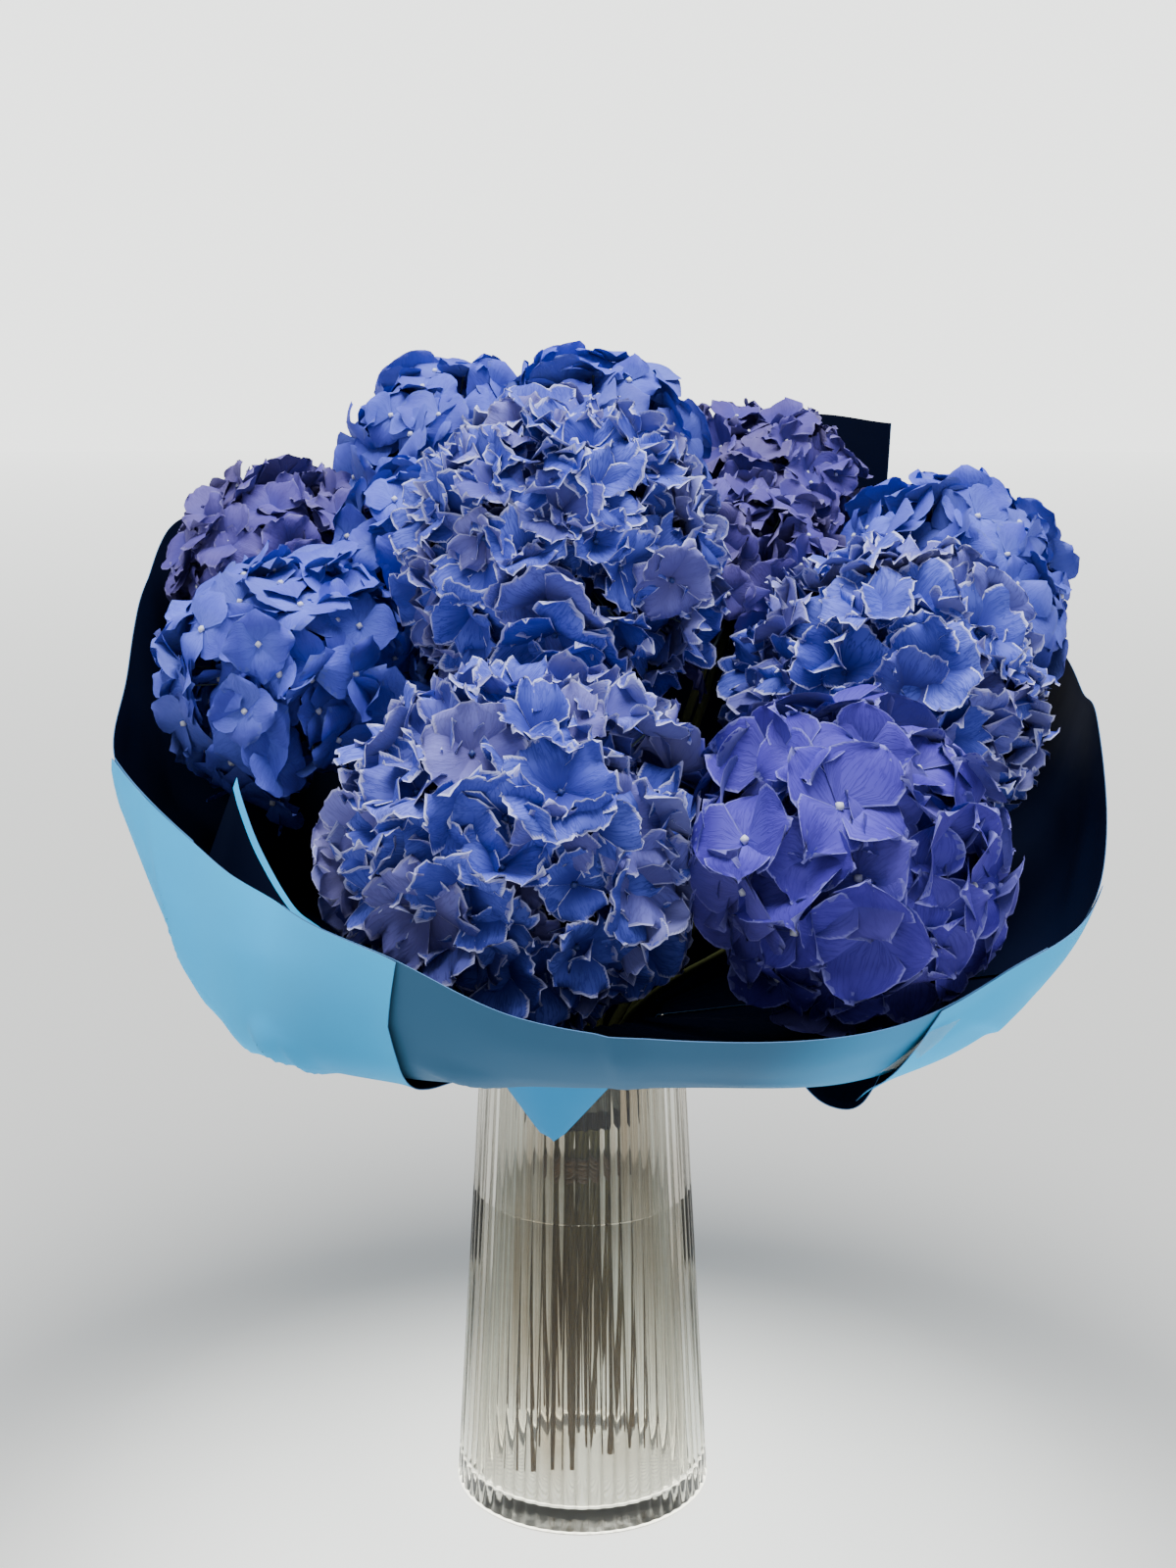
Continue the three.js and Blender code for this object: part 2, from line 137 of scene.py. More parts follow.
def mixed(tree, share, a, b):
    """The colour that is the share of the way from a to b."""
    return node(tree, "Mix", {"data_type": "RGBA"}, Factor=share, A=a, B=b).outputs["Result"]


def dye(tree, shader, share, a, b):
    """Colours the shader as mixed does, and returns that colour."""
    tint = mixed(tree, share, a, b)
    tree.links.new(tint, shader.inputs["Base Color"])
    return tint


def compute(tree, how, a, b=0.0, c=0.0):
    """The number that a Math node gives."""
    return node(tree, "Math", {"operation": how}, i0=a, i1=b, i2=c).outputs[0]


def mapped(tree, value, start, end, low=0.0, high=1.0, kind="LINEAR"):
    """A number that goes from low to high as the value goes from start to end."""
    settings = {"interpolation_type": kind}
    return node(tree, "MapRange", settings, i0=value, i1=start, i2=end, i3=low, i4=high).outputs[0]


def object_place(tree):
    """Object coordinates, in metres from the middle of the vase's foot."""
    return node(tree, "TexCoord").outputs["Object"]


# The room lights the bouquet softly, and to the camera it looks as bright as the floor far off.
room = bpy.data.worlds.new("room")
room.use_nodes = True
studio.world = room
tree = room.node_tree
lit_by = tree.nodes["Background"].outputs["Background"]
tree.nodes["Background"].inputs["Color"].default_value = (0.93, 0.95, 1, 1)
tree.nodes["Background"].inputs["Strength"].default_value = 0.36
seen_as = node(tree, "Background", Color=(0.98, 1, 0.975, 1), Strength=2.7).outputs["Background"]
seen = node(tree, "LightPath").outputs["Is Camera Ray"]
either = node(tree, "MixShader", Fac=seen, i1=lit_by, i2=seen_as).outputs["Shader"]
tree.links.new(either, tree.nodes["World Output"].inputs["Surface"])

FLOOR_RINGS = np.array([100, 300, 700, 1500, 3000, 6000, 12000, 30000])  # their radii, in mm
turn, reach = np.meshgrid(np.radians(np.arange(0, 360, 5)), FLOOR_RINGS)
points = polar(reach, turn, 0).reshape(-1, 3)
j = np.arange(72)
middle = np.stack([np.full(72, len(points)), j, (j + 1) % 72], -1)
rings = grid_faces(len(FLOOR_RINGS), 72, ring=True)[:, ::-1]
floor = surface("floor", np.concatenate([points, [[0, 0, 0]]]), rings, middle)
material, tree, shader = finish_of("pale_floor_painted_glow", Roughness=0.8, Specular_IOR_Level=0.2)
place = object_place(tree)
# Painted light: the floor's colour is pale in a pool round the vase and darker farther off.
from_light_pool = node(tree, "VectorMath", {"operation": "DISTANCE"}, i0=place, i1=(0, -0.08, 0))
patch = mapped(tree, from_light_pool.outputs["Value"], 0.05, 0.46, 1.0, 0.0, "SMOOTHSTEP")
dye(tree, shader, patch, (0.42, 0.418, 0.405, 1), (0.92, 0.91, 0.86, 1))
# Painted light: it glows round the vase, where the bouquet's shadow falls, and farther off by the
# logarithm of the distance, up to the backdrop's brightness.
apart = node(tree, "VectorMath", {"operation": "LENGTH"}, i0=place).outputs["Value"]
far = mapped(tree, compute(tree, "LOGARITHM", apart, math.e), math.log(0.32), math.log(28.0))
fading = mixed(tree, far, (0.03, 0.03, 0.029, 1), (0.92, 0.94, 0.915, 1))
painted_glow = mixed(tree, patch, fading, (0.86, 0.855, 0.79, 1))
tree.links.new(painted_glow, shader.inputs["Emission Color"])
shader.inputs["Emission Strength"].default_value = 2.6
coat(floor, material)

# ---------------- the vase
# Clear pressed glass, a tall cone that narrows upwards, with a thick floor. The rounded ribs on
# its outside run from just above the foot to just below the rim, and blur what stands inside.
VASE_HEIGHT, VASE_FOOT, VASE_RIM, VASE_FLOOR = 300, 77.5, 59.5, 12
GLASS_WALL, RIB_DEPTH, RIBS = 4.7, 1.3, 60


def outer_wall(z):
    """The cone's radius, falling evenly from foot to rim."""
    return VASE_FOOT + (VASE_RIM - VASE_FOOT) * z / VASE_HEIGHT


def capped(rings, first, last):
    """Points and faces of a closed surface from rings of points and the point at each end."""
    rows, sides = rings.shape[:2]
    points = np.concatenate([rings.reshape(-1, 3), [first], [last]])
    j = np.arange(sides)
    k = (j + 1) % sides
    n = rows * sides
    low = np.stack([np.full(sides, n), k, j], -1)
    high = np.stack([np.full(sides, n + 1), n - sides + j, n - sides + k], -1)
    return points, grid_faces(rows, sides, ring=True), low, high


def turned(profile, turns, depth=0.0, ribs=0):
    """A closed surface of revolution about Z. profile rows are radius, height and share of rib.

    Along a rib the radius loses depth times the share times (1 - |cos(half the rib angle)|).
    The first and last rows are single points on the axis.
    """
    profile = np.asarray(profile, float)
    turn = np.arange(turns) * 2 * np.pi / turns
    r = profile[1:-1, 0:1] - depth * profile[1:-1, 2:3] * (1 - np.abs(np.cos(ribs * turn / 2)))
    rings = polar(r, turn, profile[1:-1, 1:2])
    return capped(rings, [0, 0, profile[0, 1]], [0, 0, profile[-1, 1]])


def noise(tree, place, scale, detail=2.0, **sockets):
    """Soft noise with that many of its cells to a metre."""
    return node(tree, "TexNoise", Vector=place, Scale=scale, Detail=detail, **sockets).outputs["Fac"]


def roughen(tree, shader, height, strength, distance, **sockets):
    """Bumps the shader's surface by that height."""
    bump = node(tree, "Bump", Height=height, Strength=strength, Distance=distance, **sockets)
    tree.links.new(bump.outputs["Normal"], shader.inputs["Normal"])


def glass_finish(name, ior, roughness, tint):
    """Clear glass or water that lets light through to what stands in it."""
    material, tree, shader = finish_of(name, IOR=ior, Roughness=roughness, Transmission_Weight=1.0)
    shader.inputs["Base Color"].default_value = tint
    clear = node(tree, "BsdfTransparent", Color=tint)
    path = node(tree, "LightPath").outputs["Is Shadow Ray"]
    blend = node(tree, "MixShader", Fac=path, i1=shader.outputs["BSDF"], i2=clear.outputs["BSDF"])
    tree.links.new(blend.outputs["Shader"], tree.nodes["Material Output"].inputs["Surface"])
    return material, tree, shader, clear


inside = lambda z: outer_wall(z) - GLASS_WALL
arc = np.radians(np.linspace(0, 90, 6))
foot = np.stack([outer_wall(0) - 3.0 + 3.0 * np.sin(arc), 3.0 - 3.0 * np.cos(arc), 0 * arc], -1)
rim_top = outer_wall(VASE_HEIGHT)
lip_height = VASE_HEIGHT - 2.3 + 2.3 * np.sin(2 * arc)
lip = np.stack([rim_top - 2.4 + 2.3 * np.cos(2 * arc), lip_height, 0 * arc], -1)
well_radius = inside(VASE_FLOOR) - 9 + 9 * np.cos(arc)
well = np.stack([well_radius, VASE_FLOOR + 9 - 9 * np.sin(arc), 0 * arc], -1)
profile = np.concatenate([
    [[0, 2.2, 0], [40, 2.0, 0], [62, 1.2, 0], [70, 0, 0]],
    foot,
    [[outer_wall(7), 7, 1], [outer_wall(20), 20, 1], [outer_wall(150), 150, 1]],
    [[outer_wall(286), 286, 1], [outer_wall(292), 292, 0.6], [outer_wall(296), 296, 0]],
    lip,
    [[inside(290), 290, 0], [inside(150), 150, 0], [inside(40), 40, 0]],
    well,
    [[40, VASE_FLOOR - 0.6, 0], [0, VASE_FLOOR - 1.0, 0]],
])
vase = surface("glass_vase", *turned(profile, RIBS * 8, RIB_DEPTH, RIBS))
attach(vase, "root")
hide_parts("vase")
plain = (0.7, 0.7, 0.66, 1)  # the sockets' own value, under the tint linked to them; for tools that read no varying tint
material, tree, shader, clear = glass_finish("clear_glass", 1.32, 0.08, plain)
place = object_place(tree)
xyz = node(tree, "SeparateXYZ", Vector=place).outputs
# Painted refraction and shade: the glass over the stems is tinted their brown and green in soft
# upright streaks, painted in place of the stems seen through the ribs, darker between the ribs as
# painted shade, and the foot is clear.
upright = node(tree, "Mapping", Vector=place, Scale=(34, 34, 5)).outputs["Vector"]
painted_smears = mapped(tree, noise(tree, upright, 1.0, 3.0, Distortion=0.6), 0.38, 0.64)
tint = mixed(tree, painted_smears, (0.52, 0.46, 0.37, 1), (0.83, 0.85, 0.80, 1))
foot_share = mapped(tree, xyz["Z"], 0.012, 0.06, 1.0, 0.0, "SMOOTHSTEP")
tint = mixed(tree, foot_share, tint, (0.80, 0.81, 0.78, 1))
# painted shade: the glass is tinted darker between the ribs
angle = compute(tree, "ARCTAN2", xyz["Y"], xyz["X"])
groove = compute(tree, "COSINE", compute(tree, "MULTIPLY", angle, float(RIBS)))
between = mapped(tree, groove, -1.0, 0.2, 0.55, 0.0)
tint = dye(tree, shader, between, tint, (0.34, 0.33, 0.29, 1))
tree.links.new(tint, clear.inputs["Color"])
long_waves = node(tree, "Mapping", Vector=place, Scale=(60, 60, 9)).outputs["Vector"]
roughen(tree, shader, noise(tree, long_waves, 1.0), 0.12, 0.002)
coat(vase, material)

# ---------------- the water
# Water to two thirds of the vase, drawn a little up the glass where it meets it.
level = 186
profile = np.concatenate([
    [[0, VASE_FLOOR - 1.1, 0], [40, VASE_FLOOR - 0.7, 0]],
    well[::-1] + (0.08, -0.08, 0),
    [[inside(60) + 0.08, 60, 0], [inside(120) + 0.08, 120, 0]],
    [[inside(level + 1.5) + 0.08, level + 1.5, 0], [inside(level) - 0.9, level + 0.4, 0]],
    [[inside(level) - 2.6, level, 0], [30, level, 0], [0, level, 0]],
])
water = surface("water_in_vase", *turned(profile, 96))
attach(water, "root")
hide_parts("water")
material, tree, shader, _ = glass_finish("clear_water", 1.05, 0.0, (0.985, 0.985, 0.95, 1))
roughen(tree, shader, noise(tree, object_place(tree), 22.0, 1.0), 0.05, 0.002)
coat(water, material)

# ---------------- the stems
# Thirteen woody hydrangea stems, brown below and greener towards the flowers. They cross in a
# spiral where they are tied, stand in the water and part above it, one to each flower head.
HEADS = {  # each head's middle, radius, kind of floret, and how far it swells towards a gap
    "front": ((-34, -168, 432), 95, "frilled", (14, 4, 6)),
    "front_right": ((131, -186, 427), 80, "violet", (-6, 0, 10)),
    "right": ((170, -47, 492), 88, "frilled", (-10, -6, -14)),
    "back_right": ((227, 103, 535), 80, "blue", (0, -6, -6)),
    "back_middle": ((112, 183, 582), 76, "mauve", (6, -4, -6)),
    "back": ((3, 219, 557), 72, "blue", (0, 0, 1)),
    "back_left": ((-91, 230, 616), 71, "blue", (-4, -8, -8)),
    "left_back": ((-186, 108, 545), 73, "mauve", (0, 0, 1)),
    "left": ((-165, -9, 497), 80, "blue", (6, -4, -10)),
    "middle": ((-12, -43, 572), 88, "frilled", (6, -6, -20)),
    "middle_back": ((5, 108, 614), 74, "blue", (0, 0, 1)),
    "middle_left": ((-88, 72, 558), 64, "blue", (-6, -8, -8)),
    "middle_right": ((95, 46, 546), 66, "mauve", (0, -22, -26)),
}
OUTER_HEADS = 9  # these stand in a ring round the last four
STEM_RADIUS, WAIST, STRAIGHT_TO = 3.1, 202, 262


def unit(vectors):
    """The vectors over their length."""
    return vectors / np.maximum(np.linalg.norm(vectors, axis=-1, keepdims=True), 1e-9)


middles = np.array([head[0] for head in HEADS.values()], float)
radii = np.array([head[1] for head in HEADS.values()], float)
axes = unit(middles - (0, 0, 250))


def tube(path, radius, sides, flat=None):
    """A closed tube: rings of cos and sin about each point of the path, square to its run.

    radius is one number, or one for each point, or one for each point and side.
    """
    run = unit(np.gradient(path, axis=0))
    side = unit(np.cross(run, flat if flat is not None else (0.0, 0.0, 1.0)))
    other = np.cross(run, side)
    turn = np.arange(sides) * 2 * np.pi / sides
    radius = np.asarray(radius, float).reshape((len(path), -1) if np.ndim(radius) else (1, 1))
    radius = np.broadcast_to(radius, (len(path), sides))
    around = np.cos(turn)[:, None] * side[:, None] + np.sin(turn)[:, None] * other[:, None]
    return capped(path[:, None] + radius[..., None] * around, path[0], path[-1])


bark, tree, shader = finish_of("bark", Roughness=0.72, Specular_IOR_Level=0.3)
place = object_place(tree)
lengthways = node(tree, "Mapping", Vector=place, Scale=(700, 700, 60)).outputs["Vector"]
streak = noise(tree, lengthways, 1.0, 3.0)
brown = mixed(tree, streak, (0.075, 0.042, 0.016, 1), (0.20, 0.13, 0.055, 1))
rise = mapped(tree, node(tree, "SeparateXYZ", Vector=place).outputs["Z"], 0.05, 0.30)
dye(tree, shader, rise, brown, (0.10, 0.115, 0.035, 1))
roughen(tree, shader, streak, 0.5, 0.0006)

leans = np.zeros(len(HEADS))
azimuths = np.arctan2(axes[:, 1], axes[:, 0])
outer_order = np.argsort(azimuths[:OUTER_HEADS])
inner_order = OUTER_HEADS + np.argsort(azimuths[OUTER_HEADS:])
leans[outer_order] = np.radians(-150 + 40 * np.arange(OUTER_HEADS))
leans[inner_order] = np.radians(-110 + 90 * np.arange(len(inner_order)))
STEM_LEAN = math.tan(math.radians(12))  # of the outer stems; the inner ones lean about a third
INNER_LEAN = math.tan(math.radians(12 * 0.35))
for i, radius in enumerate(radii):
    inner = i >= OUTER_HEADS
    lean = leans[i]
    outward = np.array([math.cos(lean), math.sin(lean), 0])
    run = np.array([0, 0, 1.0]) + (INNER_LEAN if inner else STEM_LEAN) * outward
    waist = np.array([-math.sin(lean), math.cos(lean), 0]) * (4.7 if inner else 11.7) + (0, 0, WAIST)
    on_line = lambda z: waist + run * (z - WAIST)
    foot_z = 14.0 + 9 * ((i * 5) % 4)
    straight = np.linspace(on_line(foot_z), on_line(STRAIGHT_TO), 40)
    back = middles[i] - axes[i] * (0.5 * radius + 1)
    t = np.linspace(0, 1, 24)[1:, None]
    # from the straight foot into the head, by a cubic curve with two handles
    start, pull, push = on_line(STRAIGHT_TO), on_line(STRAIGHT_TO + 58), back - axes[i] * 80
    bent = (1 - t) ** 3 * start + 3 * t * (1 - t) ** 2 * pull
    bent = bent + 3 * t**2 * (1 - t) * push + t**3 * (back + axes[i] * 6)
    path = np.concatenate([straight, bent])
    along = np.concatenate([[0], np.cumsum(np.linalg.norm(np.diff(path, axis=0), axis=1))])
    knots = 0.55 * np.exp(-(((along - 20 - 7 * i) % 62 - 31) / 3.2) ** 2)
    thickness = STEM_RADIUS * (1.0 - 0.12 * along / along[-1]) * (1 + 0.03 * np.sin(along / 11 + i))
    thickness = thickness + knots * 0.5 - 0.15
    flat = np.cross(run, axes[i])
    stem = surface(f"woody_stem_{i + 1:02d}", *tube(path, thickness, 12, flat / np.linalg.norm(flat)))
    coat(stem, bark)
    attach(stem, "root")
    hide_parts(f"stem_{i + 1:02d}")

# ---------------- the twine
# Natural brown twine of three twisted strands, wound round the stems just under the paper.
TWINE_TURNS, TWINE_RADIUS, TWINE_FROM, TWINE_TO = 5, 1.7, 195, 209
turn = np.linspace(0, 2 * np.pi * TWINE_TURNS, 72 * TWINE_TURNS)
wander = 0.35 * np.sin(turn * 1.3) + 0.25 * np.sin(turn * 2.7)
ring = 16.9 + 0.2 * np.sin(3 * turn)
height = TWINE_FROM + (TWINE_TO - TWINE_FROM) * turn / turn[-1] + wander
path = polar(ring, turn, height)
strand = np.arange(12) * 2 * np.pi / 12
twist = TWINE_RADIUS * (0.8 + 0.2 * np.abs(np.cos(1.5 * (strand[None, :] + 9 * turn[:, None]))))
twine = surface("wound_twine", *tube(path, twist, 12))
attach(twine, "root")
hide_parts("twine")
material, tree, shader = finish_of("natural_twine", Roughness=0.95, Sheen_Weight=0.3)
fibre = noise(tree, object_place(tree), 900.0)
dye(tree, shader, fibre, (0.06, 0.032, 0.014, 1), (0.2, 0.125, 0.06, 1))
roughen(tree, shader, fibre, 0.6, 0.0005)
coat(twine, material)

# ---------------- the paper wrap
# Stiff matte wrapping paper, light blue outside and navy inside, in six overlapping sheets that
# make one wide bowl. It is gathered inside the vase's mouth, creased under the flowers, and the
# corner of one sheet hangs out below the front.
COLUMNS = np.array([  # azimuth, radius and height of the crease, radius and height of the rim
    [-163, 250, 411, 266, 464], [-145, 241, 339, 245, 431], [-136, 244, 329, 244.5, 420],
    [-127, 256, 335, 244, 410], [-108, 280, 343, 294, 409], [-95, 286, 346, 306, 386],
    [-80, 288, 345, 312, 376], [-64, 286, 338, 312, 373], [-47, 279, 342, 300, 383],
    [-30, 276, 361, 305, 403], [-8, 270, 396, 292, 479], [8, 272, 404, 303, 484],
    [27, 285, 404, 340, 504], [47, 270, 398, 303, 641], [62, 262, 392, 306, 645],
    [85, 262, 386, 314, 599], [108, 258, 389, 300, 569], [128, 256, 397, 296, 582],
    [147, 256, 409, 309, 581], [160, 250, 413, 288, 546], [178, 240, 410, 266, 496],
], float)
CREASE_SHARP = (-163, -145, -136, -127, -95, 160)  # columns at a fold or a corner of the crease
RIM_SHARP = (-163, 27, 47, 160)  # and of the rim
TAIL, NECK, MOUTH = (23, 231), (25, 262), (50, 303.6)  # radius and height below the crease
PAPER = 0.45  # its thickness in mm
FOLD_RADIUS, ROW_LENGTH = 280, 60  # mm to a radian and to a row, where folds are measured


def bowl_columns(azimuth):
    """Crease radius and height and rim radius and height at each azimuth.

    They follow a cubic through the columns. Its slope at a column is the slope between the two
    columns beside it, or one-sided where the column is sharp.
    """
    known = np.concatenate([COLUMNS - (360, 0, 0, 0, 0), COLUMNS, COLUMNS + (360, 0, 0, 0, 0)])
    x, y = known[:, 0], known[:, 1:]
    step = np.diff(x)[:, None]
    rise = np.diff(y, axis=0) / step
    slope = np.zeros_like(y)
    slope[1:-1] = (y[2:] - y[:-2]) / (x[2:] - x[:-2])[:, None]
    column = ((x + 180) % 360 - 180)[:, None]
    of_crease = [True, True, False, False]
    sharp = np.where(of_crease, np.isin(column, CREASE_SHARP), np.isin(column, RIM_SHARP))
    leave = np.where(sharp[:-1], rise, slope[:-1])
    reach = np.where(sharp[1:], rise, slope[1:])
    k = np.clip(np.searchsorted(x, azimuth, side="right") - 1, 0, len(step) - 1)
    h, t = step[k], (np.asarray(azimuth)[:, None] - x[k][:, None]) / step[k]
    return (
        (2 * t**3 - 3 * t**2 + 1) * y[k] + (t**3 - 2 * t**2 + t) * h * leave[k]
        + (3 * t**2 - 2 * t**3) * y[k + 1] + (t**3 - t**2) * h * reach[k]
    )


def bowl(azimuth, row):
    """Points of the bowl in millimetres at each azimuth and row.

    Rows 0 to 5 are the tail, neck, mouth, crease, belly and rim. The paper is straight from row
    to row, but rounded off at the crease and the belly by a parabola between the straight lines.
    """
    azimuth, row = np.broadcast_arrays(np.asarray(azimuth, float), np.asarray(row, float))
    shape = azimuth.shape
    azimuth, row = azimuth.ravel(), row.ravel()
    found = bowl_columns(azimuth)
    one = np.ones(len(azimuth))
    crease, rim = found[:, :2].T, found[:, 2:].T
    belly = (crease + rim) / 2 + [[5], [0]]
    low = [np.array(level)[:, None] * one for level in (TAIL, NECK, MOUTH)]
    levels = np.stack(low + [crease, belly, rim], 1)  # radius and height, by row and point

    def straight(at):
        k = np.clip(np.floor(at).astype(int), 0, 4)
        each = np.arange(len(at))
        t = at - k
        return levels[:, k, each] * (1 - t) + levels[:, k + 1, each] * t

    line = straight(row)
    for corner, before, after in ((3, 0.09, 0.42), (4, 0.5, 0.5)):
        t = (row - corner + before) / (before + after)
        near = (t > 0) & (t < 1)
        a, c, b = (straight(at * one) for at in (corner - before, corner, corner + after))
        line = np.where(near, (1 - t) ** 2 * a + 2 * t * (1 - t) * c + t**2 * b, line)
    return polar(line[0], np.radians(azimuth), line[1]).reshape(*shape, 3)


def face_normals(points):
    """Unit normals of a grid of points, from the cross product of its two runs."""
    return unit(np.cross(np.gradient(points, axis=1), np.gradient(points, axis=0)))


def crumple(u, v, folds, seed):
    """The height of soft creases in paper: a sum of ridges along random lines.

    A ridge is height * (1 - |across| / width) * exp(-(along / length)^2).
    """
    random = np.random.default_rng(seed)
    height = np.zeros_like(u)
    for _ in range(folds):
        cu, cv = random.uniform(u.min(), u.max()), random.uniform(v.min(), v.max())
        turn = random.uniform(0, np.pi)
        across = (u - cu) * np.cos(turn) + (v - cv) * np.sin(turn)
        along = (v - cv) * np.cos(turn) - (u - cu) * np.sin(turn)
        width, length = random.uniform(12, 40), random.uniform(25, 90)
        ridge = random.uniform(-1, 1) * width * 0.11 * np.maximum(0, 1 - np.abs(across) / width)
        height += ridge * np.exp(-((along / length) ** 2))
    return height


def edge_ends(obj):
    """The numbers of the two points of every edge."""
    ends = np.zeros(len(obj.data.edges) * 2, np.int32)
    obj.data.edges.foreach_get("vertices", ends)
    return ends.reshape(-1, 2)


def sharpen(obj, sharp):
    """Keeps the shading from running over the edges that are sharp."""
    obj.data.attributes.new("sharp_edge", "BOOLEAN", "EDGE").data.foreach_set("value", sharp)


def two_faced(name, inner, outer, navy_rows=0):
    """A closed thin sheet between two grids of points: its inner face, outer face and cut edges.

    The first rows of the outer face can be navy too, where the paper is turned over.
    """
    rows, columns = inner.shape[:2]
    n = rows * columns
    points = np.concatenate([inner.reshape(-1, 3), outer.reshape(-1, 3)])
    grid = grid_faces(rows, columns)
    i, j = np.arange(rows), np.arange(columns)
    right, top = i[:-1] * columns + columns - 1, (rows - 1) * columns + j[:0:-1]
    loop = np.concatenate([j[:-1], right, top, i[:0:-1] * columns])
    nxt = np.roll(loop, -1)
    edge = np.stack([loop, nxt, nxt + n, loop + n], -1)
    obj = surface(name, points, grid[:, ::-1], grid + n, edge)
    outside = np.where(grid[:, 0] < navy_rows * columns, 1, 0)
    numbers = np.concatenate([np.ones(len(grid)), outside, np.full(len(edge), 2)]).astype(np.int32)
    obj.data.polygons.foreach_set("material_index", numbers)
    ends = edge_ends(obj)
    on_rim = np.isin(ends % n, loop).all(axis=1) & ((ends[:, 0] < n) == (ends[:, 1] < n))
    sharpen(obj, on_rim)
    return obj


def paper_finish(name, light, dark, gloss, painted_spot=None):
    """Matte paper: cloudy colour, fine fibres and faint rumples in its surface.

    Painted light or shade can be given: a place, a colour that fills it, and how far from the place
    the colour starts and ends to fade.
    """
    material, tree, shader = finish_of(name, Roughness=0.62, Specular_IOR_Level=gloss)
    place = object_place(tree)
    cloud = noise(tree, place, 7.0, 4.0, Roughness=0.6)
    tint = mixed(tree, mapped(tree, cloud, 0.35, 0.68), light, dark)
    if painted_spot:
        middle, colour, full, none = painted_spot
        off = node(tree, "VectorMath", {"operation": "DISTANCE"}, i0=place, i1=middle)
        share = mapped(tree, off.outputs["Value"], full, none, 1.0, 0.0, "SMOOTHSTEP")
        tint = mixed(tree, share, tint, colour)
    tree.links.new(tint, shader.inputs["Base Color"])
    fibres = noise(tree, place, 850.0, 3.0)
    fine = node(tree, "Bump", Height=fibres, Strength=0.12, Distance=0.0003).outputs["Normal"]
    roughen(tree, shader, noise(tree, place, 26.0), 0.22, 0.002, Normal=fine)
    return material


# painted shade on the blue sheets at the left of the front, and painted light on the right end of
# the darker front sheet
PAINTED_SHADE_LEFT = ((-0.105, -0.235, 0.315), (0.016, 0.25, 0.52, 1), 0.0, 0.15)
PAINTED_LIGHT_RIGHT = ((0.17, -0.24, 0.345), (0.04, 0.26, 0.52, 1), 0.045, 0.115)
blue_paper = paper_finish(
    "blue_paper", (0.006, 0.51, 1.0, 1), (0.005, 0.47, 0.98, 1), 0.12, PAINTED_SHADE_LEFT)
# painted shade: a darker copy of the blue paper for the front sheet, which faces down
painted_shade_paper = paper_finish(
    "blue_paper_painted_shade", (0.032, 0.105, 0.20, 1), (0.030, 0.095, 0.18, 1), 0.10, PAINTED_LIGHT_RIGHT)
navy_paper = paper_finish(
    "navy_paper", (0.0012, 0.0032, 0.015, 1), (0.0009, 0.0026, 0.012, 1), 0.05)
cut_edge = paper_finish("cut_edge", (0.08, 0.20, 0.40, 1), (0.06, 0.15, 0.32, 1), 0.1)

# name, layer from the inside, first and last azimuth at tail, neck, mouth, crease, belly and rim
SHEETS = (
    ("left_front", 1, (-182, -182, -182, -182, -166, -163), (-95, -95, -100, -106, -107, -106)),
    ("front", 0, (-127,) * 6, (-40,) * 6),
    ("right_front", 1, (-64, -64, -62, -62, -60, -57), (-22, -22, -22, -22, -26, -28)),
    ("right", 0, (-30,) * 6, (34, 34, 34, 32, 27, 27)),
    ("back", 1, (20, 20, 20, 22, 47, 47), (108,) * 6),
    ("left", 0, (85,) * 6, (215,) * 6),
)
# sheet: sharp folds, each an azimuth and a row, the fold's turn from upright in degrees, its width,
# length and height in mm; a fold falls away on one side only
FOLDS = {
    "left_front": ((-127.5, 3.22, 62, 22, 20, 5.5), (-121, 3.10, 40, 14, 16, 3.5),
                   (-136, 3.06, 75, 20, 22, 3.0), (-150, 3.7, 15, 40, 60, 2.5)),
    "front": ((-87, 4.2, 4, 14, 60, 2.6), (-101, 3.25, 60, 16, 22, 3.0), (-76, 3.4, 80, 12, 40, 0.8)),
    "right_front": ((-45, 3.5, 35, 30, 50, 2.5),),
    "back": ((64, 4.4, 8, 30, 60, 2.0),),
    "left": ((150, 4.2, 20, 30, 60, 2.5), (120, 3.6, -25, 30, 60, 2.5)),
}
ROWS = np.concatenate([  # closest together round the crease
    np.linspace(0, 1, 5)[:-1], np.linspace(1, 2, 9)[:-1], np.linspace(2, 2.9, 15)[:-1],
    np.linspace(2.9, 3.45, 12)[:-1], np.linspace(3.45, 5, 15),
])
